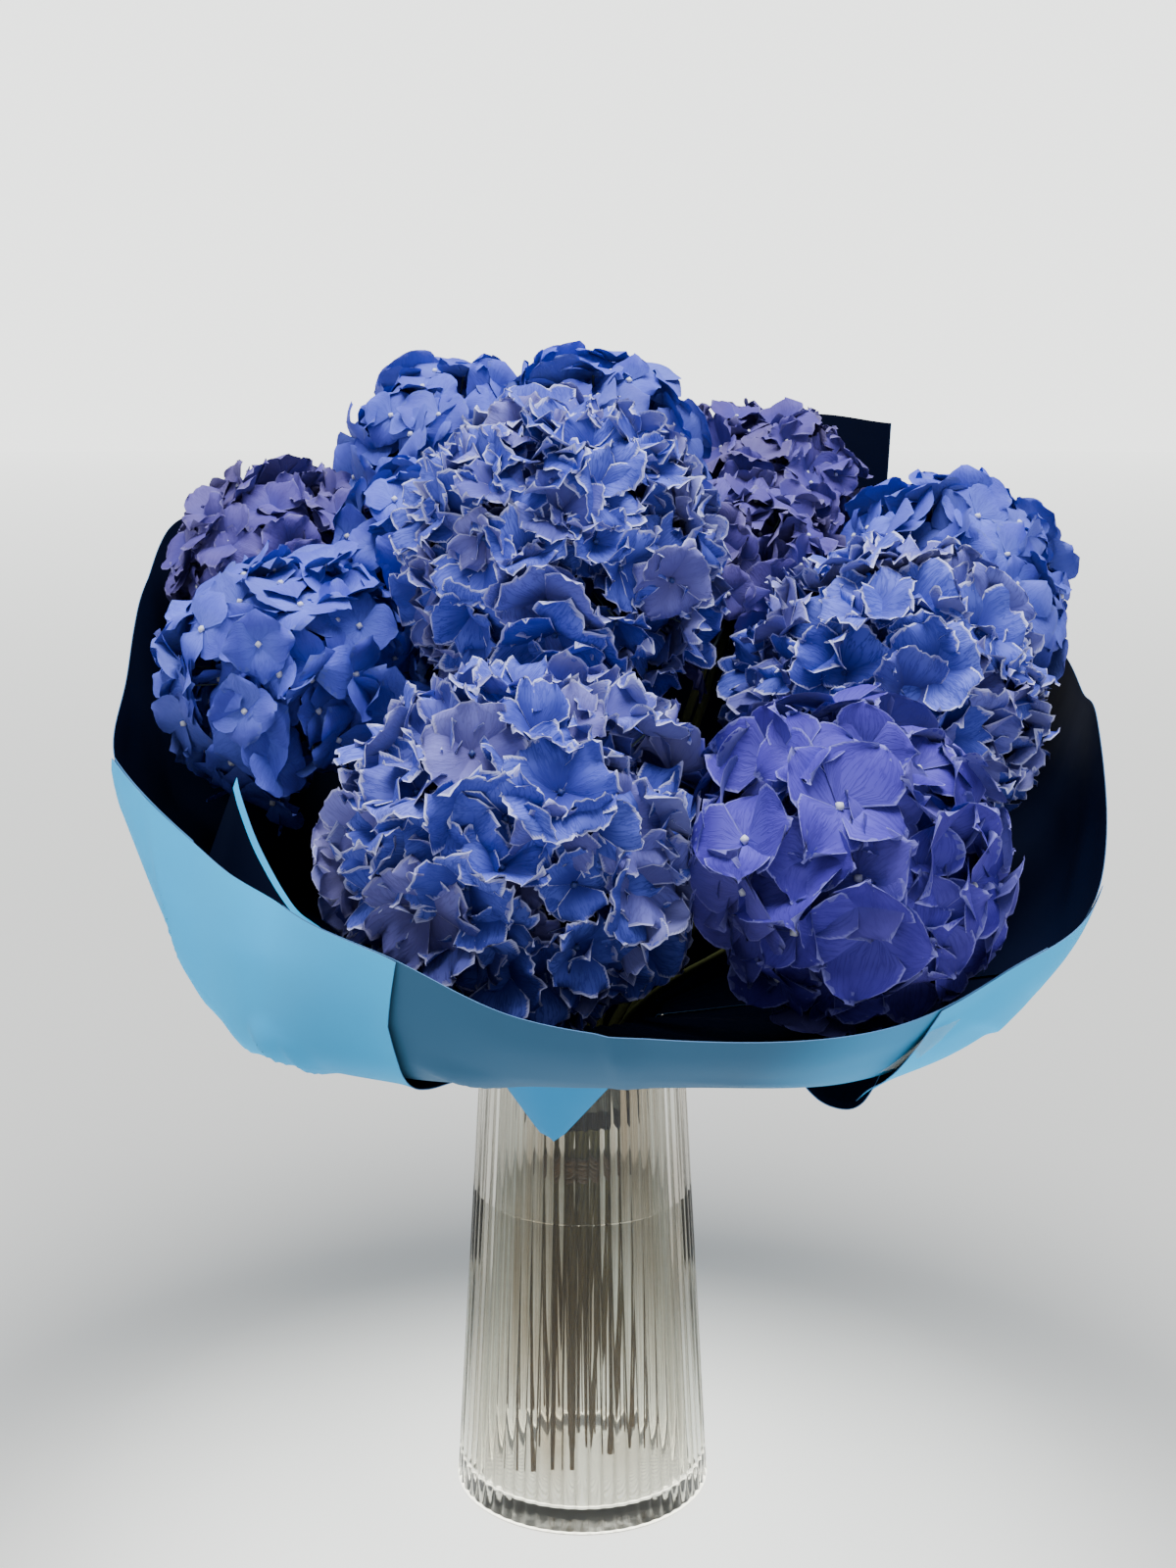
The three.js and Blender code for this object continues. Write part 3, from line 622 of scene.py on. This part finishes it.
for seed, (name, layer, first, last) in enumerate(SHEETS):
    start, end = np.interp(ROWS, range(6), first), np.interp(ROWS, range(6), last)
    share = np.linspace(0, 1, int((last[3] - first[3]) / 0.6) + 2)
    azimuth = start[:, None] + (end - start)[:, None] * share
    row = np.broadcast_to(ROWS[:, None], azimuth.shape)
    base = bowl(azimuth, row)
    out = face_normals(base)
    # pleats where the sheet is gathered, which open out towards the mouth
    gather = np.interp(ROWS, [0, 1, 1.6, 2.4, 3], [0.9, 0.8, 1.4, 1.2, 0.0])[:, None]
    pleats = gather * np.sin(np.radians(azimuth) * 21 + layer) * 0.8
    fading = np.interp(ROWS, [1.8, 2.6, 3.1, 4, 5], [0, 1, 1, 0.55, 0.12])[:, None]
    folds = crumple(np.radians(azimuth) * FOLD_RADIUS, row * ROW_LENGTH, 16, seed) * fading
    for at, level, turn, width, length, height in FOLDS.get(name, ()):
        u, v = np.radians(azimuth - at) * FOLD_RADIUS, (row - level) * ROW_LENGTH
        turn = math.radians(turn)
        across = u * math.cos(turn) + v * math.sin(turn)
        along = v * math.cos(turn) - u * math.sin(turn)
        slope = np.where(across > 0, 1 - across / width, 1 + across / 6)
        folds = folds + height * np.maximum(0, slope) * np.exp(-((along / length) ** 2))
    lift = layer * np.interp(ROWS, [4, 5], [2.2, 0.9])[:, None] + np.abs(pleats)
    lift = lift + np.clip(folds, -1.2, 7.5)
    # an upper sheet stands off a little farther along its sides
    edge = np.minimum(share, 1 - share) * (end - start)[:, None] * 5
    standing_off = np.interp(ROWS, [2, 2.7, 3.4, 5], [0, 1, 1, 0.2])[:, None]
    lift = lift + 2.2 * layer * np.exp(-edge / 9) * standing_off
    inner = base + out * lift[..., None]
    if name == "right_front":  # its free corner hangs a little below the crease
        near_side = np.clip(1 - (azimuth + 62) / 6.5, 0, 1)
        inner[..., 2] -= 10 * near_side * np.exp(-(((row - 2.97) / 0.16) ** 2))
    sheet = two_faced("sheet_" + name, inner, inner + out * PAPER, navy_rows=18)
    coat(sheet, painted_shade_paper if name == "front" else blue_paper, navy_paper, cut_edge)
    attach(sheet, "root")
    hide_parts("paper_" + name)

# the hanging corner: from under the front of the bowl down to its point
tip = np.array([-16, -82, 249.0])
side, down = np.meshgrid(np.linspace(0, 1, 25), np.linspace(0, 1, 30))
upper, under = bowl(-116 + 48 * side, 2.75), bowl(-131 + 62 * side, 2.22)
t = np.clip(down / 0.55, 0, 1)[..., None]
s = np.clip((down - 0.55) / 0.45, 0, 1)[..., None]
point = tip + ((side - 0.5) * 1.2)[..., None] * (1, 0, 0)
base = np.where(down[..., None] < 0.55, upper + (under - upper) * t, under + (point - under) * s)
out = -face_normals(base)
bow = (4 * side * (1 - side) * np.sin(np.pi * np.clip(down, 0, 1)) * 4)[..., None]
inner = base + out * (4.8 + bow)
corner = two_faced("hanging_corner", inner[::-1], (inner + out * PAPER)[::-1])
# painted shade: a darker copy of the blue paper for the hanging corner under the bowl
shaded_paper = paper_finish("shaded_blue_paper", (0.02, 0.22, 0.46, 1), (0.018, 0.20, 0.43, 1), 0.1)
coat(corner, shaded_paper, navy_paper, cut_edge)
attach(corner, "root")
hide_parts("paper_corner")


def rounded_line(corners, count):
    """Points along the line through the corners, rounded off: each is the mean of five.

    With them comes how far along each is, in corners.
    """
    corners = np.array(corners, float)
    share = np.linspace(0, len(corners) - 1, count)
    line = [np.interp(share, range(len(corners)), corners[:, axis]) for axis in range(3)]
    line = np.stack(line, -1)
    line[2:-2] = (line[:-4] + line[1:-3] + line[2:-2] + line[3:-1] + line[4:]) / 5
    return share, line


# a rolled edge below the crease at the front right: a navy scoop behind the sheet's corner
share, edge = rounded_line([
    [103, -256, 341], [107, -253, 334.3], [114.9, -251, 326.7], [126.2, -249, 322.9],
    [133.5, -248, 325.4], [138.5, -248, 333.1], [143.5, -248, 344.0],
], 31)
along, rise = np.interp(share, [0, 6], [104, 143]), np.interp(share, [0, 6], [341, 346])
back = np.stack([along, np.full(31, -236.0), rise], -1)
t = np.linspace(0, 1, 12)[:, None, None]
sag = np.sin(np.pi * t) * np.array([0, 7.0, -3.0]) * np.sin(np.pi * share / 6)[:, None]
scoop = edge * (1 - t) + back * t + sag
out = face_normals(scoop)
scoop = two_faced("rolled_edge", scoop, scoop + out * PAPER, navy_rows=12)
coat(scoop, blue_paper, navy_paper, cut_edge)
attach(scoop, "root")

# the edge of an inner sheet, turned up inside the bowl at the left: navy below its blue edge
share, edge = rounded_line([
    [-184, -101, 457], [-182, -105, 449], [-171, -128, 430], [-156.9, -150, 412.4],
    [-144, -170, 401], [-131, -185, 397], [-122, -198, 394],
], 37)
wall = bowl(np.interp(share, [0, 6], [-150, -118]), np.interp(share, [0, 6], [3.5, 3.9]))
wall = wall * (0.985, 0.985, 1)  # just inside the bowl
t = np.concatenate([np.linspace(0, 0.93, 10), [0.955, 0.98, 1.0]])[:, None, None]
flap = wall * (1 - t) + edge * t
out = face_normals(flap)
band = np.sin(np.pi * np.clip(share / 5.6, 0, 1))[:, None] * 1.3
band = band * np.clip((t[..., 0] - 0.93) / 0.07, 0, 1)[..., None]
flap = flap + band * np.array([0.35, -0.35, -0.25])
flap = two_faced("turned_up_edge", flap, flap + out * 0.4, navy_rows=9)
coat(flap, blue_paper, navy_paper, cut_edge)
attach(flap, "root")

# ---------------- the clear tapes
# Clear sticky tape: two turns round the gathered neck, and a creased patch that joins two sheets
# at the front right.
tape, tree, shader = finish_of("clear_tape", Roughness=0.45, Alpha=0.12)
haze = noise(tree, object_place(tree), 240.0)
dye(tree, shader, haze, (0.36, 0.38, 0.32, 1), (0.52, 0.53, 0.46, 1))
roughen(tree, shader, haze, 0.4, 0.001)

turn, step = np.meshgrid(np.radians(np.linspace(0, 360, 73)), np.linspace(0, 1, 8))
ring = 29.0 + 0.25 * np.sin(9 * turn)
inner = polar(ring, turn, 244 + 14 * step)
neck = two_faced("neck_tape", inner, inner + polar(1, turn, 0) * 0.3)
coat(neck, tape)
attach(neck, "root")
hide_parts("tape_neck")

azimuth, row = np.meshgrid(np.linspace(-2.0, 2.0, 14), np.linspace(3.7, 4.6, 20))
azimuth = azimuth - 60.8 + (row - 3.7) * 5
base = bowl(azimuth, row)
out = face_normals(base)
inner = base + out * (5.2 + crumple(azimuth * 5, row * 40, 8, 5) * 0.4)[..., None]
patch = two_faced("tape_patch_front", inner, inner + out * 0.25)
coat(patch, tape)
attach(patch, "root")
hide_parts("tape_patch")

# ---------------- the flower heads
# Thirteen mophead hydrangeas. Each is a ball of florets on short stalks round a dense core, and
# each floret has four papery petals round a bead. Heads that touch, and heads against the paper,
# press their petals aside.
KINDS = {  # in petal lengths, but: length and radius of the bead in mm; area in mm2 of head to a
    # floret; stand, where florets are, in head radii; waves, and columns and rows, by number
    "blue": dict(
        length=24, area=820, stand=0.82, tilt=0.70, width=0.66, shoulder=0.87, drop=0.15, tip=0.045,
        rise=0.46, droop=0.42, curl=-0.05, ruffle=0.08, waves=1.1, teeth=0.0, reflex=0.02,
        grid=(6, 5), bead=1.9),
    "violet": dict(
        length=29, area=980, stand=0.83, tilt=0.50, width=0.62, shoulder=0.955, drop=0.06, tip=0.06,
        rise=0.62, droop=0.44, curl=0.10, ruffle=0.08, waves=1.1, teeth=0.0, reflex=0.04,
        grid=(6, 5), bead=2.3),
    "mauve": dict(
        length=21, area=700, stand=0.82, tilt=0.65, width=0.70, shoulder=0.80, drop=0.18, tip=0.0,
        rise=0.60, droop=0.34, curl=0.0, ruffle=0.14, waves=1.4, teeth=0.012, reflex=0.05,
        grid=(10, 4), bead=1.3),
    "frilled": dict(
        length=25, area=740, stand=0.79, tilt=0.55, width=0.72, shoulder=0.70, drop=0.14, tip=0.0,
        rise=0.72, droop=0.30, curl=0.05, ruffle=0.20, waves=1.5, teeth=0.022, reflex=0.13,
        grid=(14, 4), bead=1.7),
}
REACH = math.radians(138)  # florets cover a head from its top to this angle
PRESS = 8  # mm before a neighbour in which petals are pressed aside


def petals_of(kind, count, random):
    """Upper faces of petals, in petal lengths: +X runs to the tip and +Z is up.

    Rows go from base to tip and columns from side to side. Half the width at share t of the
    length is width * sin(pi (0.02 + shoulder t^0.75))^0.8 and the tip is an arc. The petal rises
    by rise * t, droops by droop * t^2, and ruffles in waves that grow as t^2.
    """
    k = KINDS[kind]
    columns, rows = k["grid"]
    s = np.linspace(-1, 1, columns + 1)[None, None, :]
    t = (np.linspace(0, 1, rows + 1) ** 0.72)[None, :, None]
    some = lambda spread: 1 + spread * random.uniform(-1, 1, (count, 1, 1))
    phase = random.uniform(0, 2 * np.pi, (count, 1, 1))
    half = k["width"] * some(0.10) * np.sin(np.pi * (0.02 + k["shoulder"] * t**0.75)) ** 0.8
    half = np.maximum(half, 0.05)
    zig = np.where(np.arange(columns + 1) % 2, 1.0, -1.0)[None, None, :]
    zag = np.where(np.arange(rows + 1) % 2, 1.0, -1.0)[None, :, None]
    x = 0.04 + t * some(0.08) * (1 - k["drop"] * s**2 * t**2) + k["tip"] * (1 - np.abs(s)) ** 2 * t**5
    x = x + k["teeth"] * zig * (t > 0.99)
    y = half * s * (1 + k["teeth"] * zag * (np.abs(s) > 0.99))
    waves = k["waves"] * some(0.25)
    ruffle = k["ruffle"] * some(0.35)
    z = k["rise"] * some(0.5) * t - k["droop"] * some(0.9) * t**2 + k["curl"] * s**2 * t
    z = z + ruffle * t**2 * np.sin(np.pi * waves * s + phase)
    z = z + 0.35 * k["ruffle"] * t**5 * np.sin(np.pi * waves * 1.9 * s + 2 * phase)
    rolled = np.maximum(0, (t - 0.76) / 0.24) ** 2 * k["reflex"]
    rolled = rolled * (0.5 + np.sin(0.8 * np.pi * waves * s + 3 * phase))
    x, z = x - 0.7 * np.abs(rolled), z - rolled
    y = y + 0.38 * ruffle * t**2 * np.sin(2 * np.pi * waves * s + 2 * phase)
    z = z + random.uniform(-0.35, 0.35, (count, 1, 1)) * y * t
    return np.stack(np.broadcast_arrays(x, y, z), -1)


def petal_faces(columns, rows):
    """A petal's faces, the UV of each of their corners, and which of its points are its rim.

    The faces are the upper grid and a lower grid that shares its rim. U runs across the petal
    and V along it, and U is 2 more underneath.
    """

    def quads(grid):
        corners = [grid[:-1, :-1], grid[1:, :-1], grid[1:, 1:], grid[:-1, 1:]]
        return np.stack(corners, -1).reshape(-1, 4)

    index = np.arange((rows + 1) * (columns + 1)).reshape(rows + 1, columns + 1)
    inside_rim = np.arange((rows - 1) * (columns - 1)).reshape(rows - 1, columns - 1)
    lower = index.copy()
    lower[1:-1, 1:-1] = index.size + inside_rim
    u, v = np.meshgrid(np.linspace(0, 1, columns + 1), np.linspace(0, 1, rows + 1))
    uv = np.stack([u, v], -1).reshape(-1, 2)
    top = quads(index)
    faces = np.concatenate([top, quads(lower)[:, ::-1]])
    corner_uv = np.concatenate([uv[top], uv[top[:, ::-1]] + (2, 0)])
    rim = np.unique(np.concatenate([index[0], index[-1], index[:, 0], index[:, -1]]))
    return faces, corner_uv, rim


def repeated(faces, count, size):
    """The faces of that many like shapes, of so many points each, one after another."""
    return (faces[None] + (np.arange(count) * size)[:, None, None]).reshape(-1, faces.shape[1])


def standing(points, place, outward, roll):
    """Points of many like shapes, each turned by its roll, tipped from +Z to outward and placed."""
    side = unit(np.cross(outward, (0.31, 0.84, 0.44)))
    other = np.cross(outward, side)
    c, s = np.cos(roll)[:, None], np.sin(roll)[:, None]
    turned_to = np.stack([c * side + s * other, c * other - s * side, outward], 1)
    return np.einsum("nkc,ncd->nkd", points, turned_to) + place[:, None]


def swelling(outward, radius, swell):
    """How much farther out the head reaches that way: 1 + |swell| / radius * (cosine to swell)^2."""
    length = np.linalg.norm(swell)
    return 1 + length / radius * np.maximum(0, outward @ np.asarray(swell) / length)[..., None] ** 2


def bend_clear(points, head, planes, swell):
    """Draws points in softly towards 1.1 head radii, and presses them back from the planes.

    A point that is d past the line PRESS mm before a plane ends at PRESS * (1 - exp(-d / PRESS)).
    """
    middle = middles[head]
    away = points - middle
    far = np.linalg.norm(away, axis=1, keepdims=True)
    radius = radii[head] * swelling(away / far, radii[head], swell)
    soft = radius + 0.10 * radius * (1 - np.exp(-np.maximum(far - radius, 0) / (0.10 * radius)))
    points = middle + away * np.where(far > radius, soft / far, 1)
    for normal, offset in planes:
        past = points @ normal - offset + PRESS
        pressed = PRESS * (1 - np.exp(-np.maximum(past, 0) / PRESS))
        points = points + np.where(past > 0, pressed - past, 0)[:, None] * normal
    return points


def pressing_planes(head):
    """Planes the head stays behind: halfway to each head it crowds, and just inside the paper."""
    planes = []
    for other in range(len(HEADS)):
        gap = middles[other] - middles[head]
        distance = np.linalg.norm(gap)
        if other != head and distance < (radii[head] + radii[other]) * 1.03:
            share = (distance**2 + radii[head] ** 2 - radii[other] ** 2) / (2 * distance**2)
            normal = gap / distance
            planes.append((normal, normal @ middles[head] + distance * share + 4))
    azimuth, row = np.meshgrid(np.arange(-180, 180, 5.0), np.arange(2.0, 5.01, 0.2))
    paper = bowl(azimuth, row).reshape(-1, 3)
    away = paper - middles[head]
    far = np.linalg.norm(away, axis=1)
    keep = far < radii[head] * 1.1 + 3
    for normal, offset in planes:
        keep &= paper @ normal < offset + 1
    planes += [(n, n @ p - 3.5) for n, p in zip(away[keep] / far[keep, None], paper[keep])]
    return planes


def petal_markings():
    """A shader group of what petals share: fan-like veins, rim, underside and mottling.

    Veins are the ridges of noise stretched along the petal; the rim is where max(|2u - 1|, v)
    nears 1, with a scalloped inner border.
    """
    tree = bpy.data.node_groups.new("petal_markings", "ShaderNodeTree")
    xyz = node(tree, "SeparateXYZ", Vector=node(tree, "UVMap", {"uv_map": "petal"}).outputs["UV"])
    under = compute(tree, "GREATER_THAN", xyz.outputs["X"], 1.5)
    u, v = compute(tree, "MULTIPLY_ADD", under, -2.0, xyz.outputs["X"]), xyz.outputs["Y"]
    shade = node(tree, "Attribute", {"attribute_name": "shade"}).outputs["Fac"]
    age = node(tree, "Attribute", {"attribute_name": "age"}).outputs["Fac"]
    wide, long = compute(tree, "MULTIPLY", u, 15.0), compute(tree, "MULTIPLY", v, 1.6)
    stretched = node(tree, "CombineXYZ", X=wide, Y=long, Z=compute(tree, "MULTIPLY", shade, 31.0))
    streaks = noise(tree, stretched.outputs[0], 1.0, 3.0, Roughness=0.6)
    ridge = compute(tree, "ABSOLUTE", compute(tree, "SUBTRACT", streaks, 0.5))
    vein = mapped(tree, ridge, 0.0, 0.07, 1.0, 0.0, "SMOOTHSTEP")
    side = compute(tree, "ABSOLUTE", compute(tree, "MULTIPLY_ADD", u, 2.0, -1.0))
    nearest = compute(tree, "MAXIMUM", compute(tree, "POWER", side, 1.5), v)
    wave = compute(tree, "SINE", compute(tree, "MULTIPLY", compute(tree, "ADD", u, v), 80.0))
    scallop = compute(tree, "MULTIPLY", wave, 0.022)
    rim = mapped(tree, compute(tree, "ADD", nearest, scallop), 0.865, 0.985, kind="SMOOTHSTEP")
    mottle = noise(tree, object_place(tree), 75.0, 3.0)
    marks = dict(Vein=vein, Rim=rim, Underside=under, Along=v, Mottle=mottle, Shade=shade, Age=age)
    for name in marks:
        tree.interface.new_socket(name, in_out="OUTPUT", socket_type="NodeSocketFloat")
    out = tree.nodes.new("NodeGroupOutput")
    for name, socket in marks.items():
        tree.links.new(socket, out.inputs[name])
    return tree


MARKINGS = petal_markings()


def petal_finish(name, deep, light, heart, rim, under, aged, rim_share, vein_share):
    """Soft petals: deep to light colour by petal and by patch, with another at the base.

    Their veins are darker, their rim and underside paler, and a few florets have faded.
    """
    material, tree, shader = finish_of(name, Roughness=0.7, Specular_IOR_Level=0.16)
    marks = tree.nodes.new("ShaderNodeGroup")
    marks.node_tree = MARKINGS
    layers = (  # mark, its least and its greatest value, the share at each, and the colour
        ("Shade", 0, 1, 0, 1, light),
        ("Mottle", 0.35, 0.7, 0.0, 0.45, light),
        ("Along", 0.0, 0.42, 0.85, 0.0, heart),
        ("Vein", 0, 1, 0, vein_share, deep),
        ("Underside", 0, 1, 0, 0.72, under),
        ("Rim", 0, 1, 0, rim_share, rim),
        ("Age", 0.55, 1.0, 0.0, 0.6, aged),
    )
    tint = deep
    for mark, start, end, low, high, colour in layers:
        tint = mixed(tree, mapped(tree, marks.outputs[mark], start, end, low, high), tint, colour)
    tree.links.new(tint, shader.inputs["Base Color"])
    roughen(tree, shader, marks.outputs["Vein"], 0.35, 0.0005)
    return material


def speckled(name, scale, one, other, **sockets):
    """A plain material whose colour goes from one to the other by noise."""
    material, tree, shader = finish_of(name, **sockets)
    dye(tree, shader, noise(tree, object_place(tree), scale), one, other)
    return material


LOOKS = {  # deep, light and heart colour, rim, underside and faded colour, share of rim and vein
    "blue": (
        (0.056, 0.064, 0.45, 1), (0.092, 0.12, 0.63, 1), (0.12, 0.16, 0.70, 1),
        (0.11, 0.15, 0.68, 1), (0.10, 0.13, 0.46, 1), (0.09, 0.11, 0.42, 1), 0.25, 0.45),
    "frilled": (
        (0.030, 0.040, 0.32, 1), (0.105, 0.135, 0.62, 1), (0.012, 0.014, 0.20, 1),
        (0.50, 0.525, 0.86, 1), (0.22, 0.225, 0.52, 1), (0.17, 0.15, 0.34, 1), 0.95, 0.7),
    "violet": (
        (0.030, 0.017, 0.23, 1), (0.062, 0.044, 0.39, 1), (0.10, 0.08, 0.50, 1),
        (0.24, 0.24, 0.66, 1), (0.12, 0.12, 0.40, 1), (0.11, 0.10, 0.35, 1), 0.65, 0.5),
    "mauve": (
        (0.060, 0.045, 0.23, 1), (0.095, 0.078, 0.34, 1), (0.05, 0.045, 0.30, 1),
        (0.18, 0.165, 0.40, 1), (0.12, 0.105, 0.27, 1), (0.12, 0.10, 0.21, 1), 0.6, 0.5),
}
FINISHES = {kind: petal_finish(kind + "_petals", *look) for kind, look in LOOKS.items()}
PALE, PALEST = (0.42, 0.45, 0.62, 1), (0.72, 0.74, 0.80, 1)
beads = speckled("pale_beads", 600.0, PALE, PALEST, Roughness=0.45, Specular_IOR_Level=0.4)
INKY, DEEP_BLUE = (0.008, 0.012, 0.08, 1), (0.06, 0.09, 0.36, 1)
dark_beads = speckled("dark_beads", 1400.0, INKY, DEEP_BLUE, Roughness=0.5, Specular_IOR_Level=0.4)
# The core stands in for packed inner florets and stems; its near-black colour is painted shade.
core_painted_shade_finish, tree, shader = finish_of("packed_inner_flowers_painted_shade", Roughness=0.8, Specular_IOR_Level=0.1)
cells = node(tree, "TexVoronoi", Vector=object_place(tree), Scale=110.0).outputs["Distance"]
dye(tree, shader, cells, (0.018, 0.03, 0.16, 1), (0.006, 0.008, 0.03, 1))
roughen(tree, shader, cells, 1.0, 0.004)
BLUISH, GREENISH = (0.06, 0.08, 0.16, 1), (0.10, 0.15, 0.10, 1)
stalks = speckled("floret_stalks", 60.0, BLUISH, GREENISH, Roughness=0.7)

bead_turn, bead_rise = np.meshgrid(np.arange(8) * np.pi / 4, np.radians([-50, -5, 40]))
bead_rings = polar(np.cos(bead_rise), bead_turn, np.sin(bead_rise))
bead_rings[..., :2] *= (1 + 0.14 * np.cos(4 * bead_turn))[..., None]
BEAD, BEAD_SIDES, *caps = capped(bead_rings, [0, 0, -0.9], [0, 0, 0.88])
BEAD_CAPS = np.concatenate(caps)

for index, (name, (_, radius, kind, swell)) in enumerate(HEADS.items()):
    random = np.random.default_rng(100 + index)
    k = KINDS[kind]
    planes = pressing_planes(index)
    axis = axes[index]
    side = np.cross(axis, (0, 1.0, 0.2))
    side /= np.linalg.norm(side)
    other = np.cross(axis, side)

    # Where the florets stand: a golden-angle spiral, shaken a little, and a sparser one below it.
    cap = 2 * np.pi * radius**2 * (1 - math.cos(REACH))
    eyes, facings, sizes = [], [], []
    layers = (1.0, k["stand"], 1.0, 0.0), (0.5, k["stand"] - 0.17, 0.86, 2.0)
    for share, stand, size, turn in layers:
        n = int(cap * share / k["area"])
        height = 1 - (np.arange(n) + 0.5) / n * (1 - math.cos(REACH))
        height = np.clip(height + random.uniform(-0.6, 0.6, n) / n, -1, 1)
        around = np.arange(n) * math.pi * (3 - math.sqrt(5)) + turn
        around = around + random.uniform(-0.25, 0.25, n)
        flat = np.sqrt(1 - height**2)
        outward = (flat * np.cos(around))[:, None] * side + (flat * np.sin(around))[:, None] * other
        outward = outward + height[:, None] * axis
        stand = (stand + random.uniform(-0.075, 0.06, n))[:, None]
        eye = middles[index] + outward * radius * swelling(outward, radius, swell) * stand
        past = [eye @ normal - offset for normal, offset in planes] + [np.full(n, -99.0)]
        clear = np.max(past, axis=0) < 5
        lean = outward + k["tilt"] * random.normal(0, 0.6, (n, 3))
        eyes.append(eye[clear])
        facings.append(unit(lean)[clear])
        sizes.append((size * random.uniform(0.66, 1.12, n))[clear])
    eyes, facings, sizes = map(np.concatenate, (eyes, facings, sizes))
    florets = len(eyes)

    # The petals: four to a floret, the second and fourth a little higher.
    columns, rows = k["grid"]
    faces, corner_uv, rim = petal_faces(columns, rows)
    upper = petals_of(kind, florets * 4, random)
    normal = unit(np.cross(np.gradient(upper, axis=1), np.gradient(upper, axis=2)))
    lower = (upper - normal * 0.45 / k["length"])[:, 1:-1, 1:-1].reshape(florets * 4, -1, 3)
    shapes = np.concatenate([upper.reshape(florets * 4, -1, 3), lower], 1)
    size = shapes.shape[1]
    quarter = np.tile(np.arange(4), florets)
    raised = (quarter % 2)[:, None]
    shapes[:, :, 2] += 0.03 * raised + 0.10 * raised * shapes[:, :, 0]
    shapes *= (np.repeat(sizes, 4) * k["length"])[:, None, None]
    roll = np.repeat(random.uniform(0, 2 * np.pi, florets), 4) + quarter * np.pi / 2
    roll = roll + random.uniform(-0.1, 0.1, florets * 4)
    petals = standing(shapes, np.repeat(eyes, 4, 0), np.repeat(facings, 4, 0), roll).reshape(-1, 3)
    petal_quads = repeated(faces, florets * 4, size)

    # Beads, stalks and the core.
    bead = np.broadcast_to(BEAD * k["bead"], (florets, len(BEAD), 3))
    bead = standing(bead, eyes + facings * 1.6, facings, roll[::4]).reshape(-1, 3)
    turn = np.arange(4) * np.pi / 2
    root = middles[index] + (eyes - middles[index]) * 0.45
    t = np.linspace(0, 1, 3)[None, :, None, None]
    across = 0.8 * (np.cos(turn)[:, None] * side + np.sin(turn)[:, None] * other)
    stalk = root[:, None, None] * (1 - t) + (eyes - facings * 0.3)[:, None, None] * t
    stalk = (stalk + across[None, None]).reshape(-1, 3)
    stalk_quads = repeated(grid_faces(3, 4, ring=True), florets, 12)
    stalk_ends = repeated(np.array([[3, 2, 1, 0], [8, 9, 10, 11]]), florets, 12)
    ball = [[math.sqrt(max(0, 1 - h * h)), h, 0] for h in np.linspace(-0.5, 0.985, 14)]
    core, core_quads, core_low, core_high = turned([[0, -0.5, 0]] + ball + [[0, 1, 0]], 28)
    lumps = 1 + 0.05 * np.sin(core @ (9.0, 4.0, 2.0)) * np.sin(core @ (3.0, 8.0, 7.0))
    core = core * radius * (k["stand"] - 0.24) * lumps[:, None]
    core = core @ np.stack([side, np.cross(axis, side), axis]) + middles[index]

    points = bend_clear(np.concatenate([petals, bead, stalk, core]), index, planes, swell)
    a, b, c = len(petals), len(petals) + len(bead), len(petals) + len(bead) + len(stalk)
    petal_part = [petal_quads]
    bead_part = [repeated(faces, florets, len(BEAD)) + a for faces in (BEAD_SIDES, BEAD_CAPS)]
    stalk_part = [stalk_quads + b, stalk_ends + b]
    core_part = [core_quads + c, core_low + c, core_high + c]
    parts = (petal_part, bead_part, stalk_part, core_part)
    head = surface("flower_" + name, points, *(faces for part in parts for faces in part))
    mesh = head.data
    counts = [sum(map(len, part)) for part in parts]
    mesh.polygons.foreach_set("material_index", np.repeat(np.arange(4), counts).astype(np.int32))
    uv = np.zeros((len(mesh.loops), 2), np.float32)
    uv[: len(petal_quads) * 4] = np.tile(corner_uv.reshape(-1, 2), (florets * 4, 1))
    mesh.uv_layers.new(name="petal").data.foreach_set("uv", uv.ravel())
    shades = np.repeat(random.uniform(0, 1, florets * 4), size)
    ages = np.repeat(random.uniform(0, 1, florets), 4 * size)
    for attribute, values in (("shade", shades), ("age", ages)):
        every = np.zeros(len(points), np.float32)
        every[:a] = values
        mesh.attributes.new(attribute, "FLOAT", "POINT").data.foreach_set("value", every)
    ends = edge_ends(head)
    sharpen(head, (ends < a).all(axis=1) & np.isin(ends % size, rim).all(axis=1))
    coat(head, FINISHES[kind], dark_beads if kind == "frilled" else beads, stalks, core_painted_shade_finish)
    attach(head, "root")
    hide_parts("head_" + name)
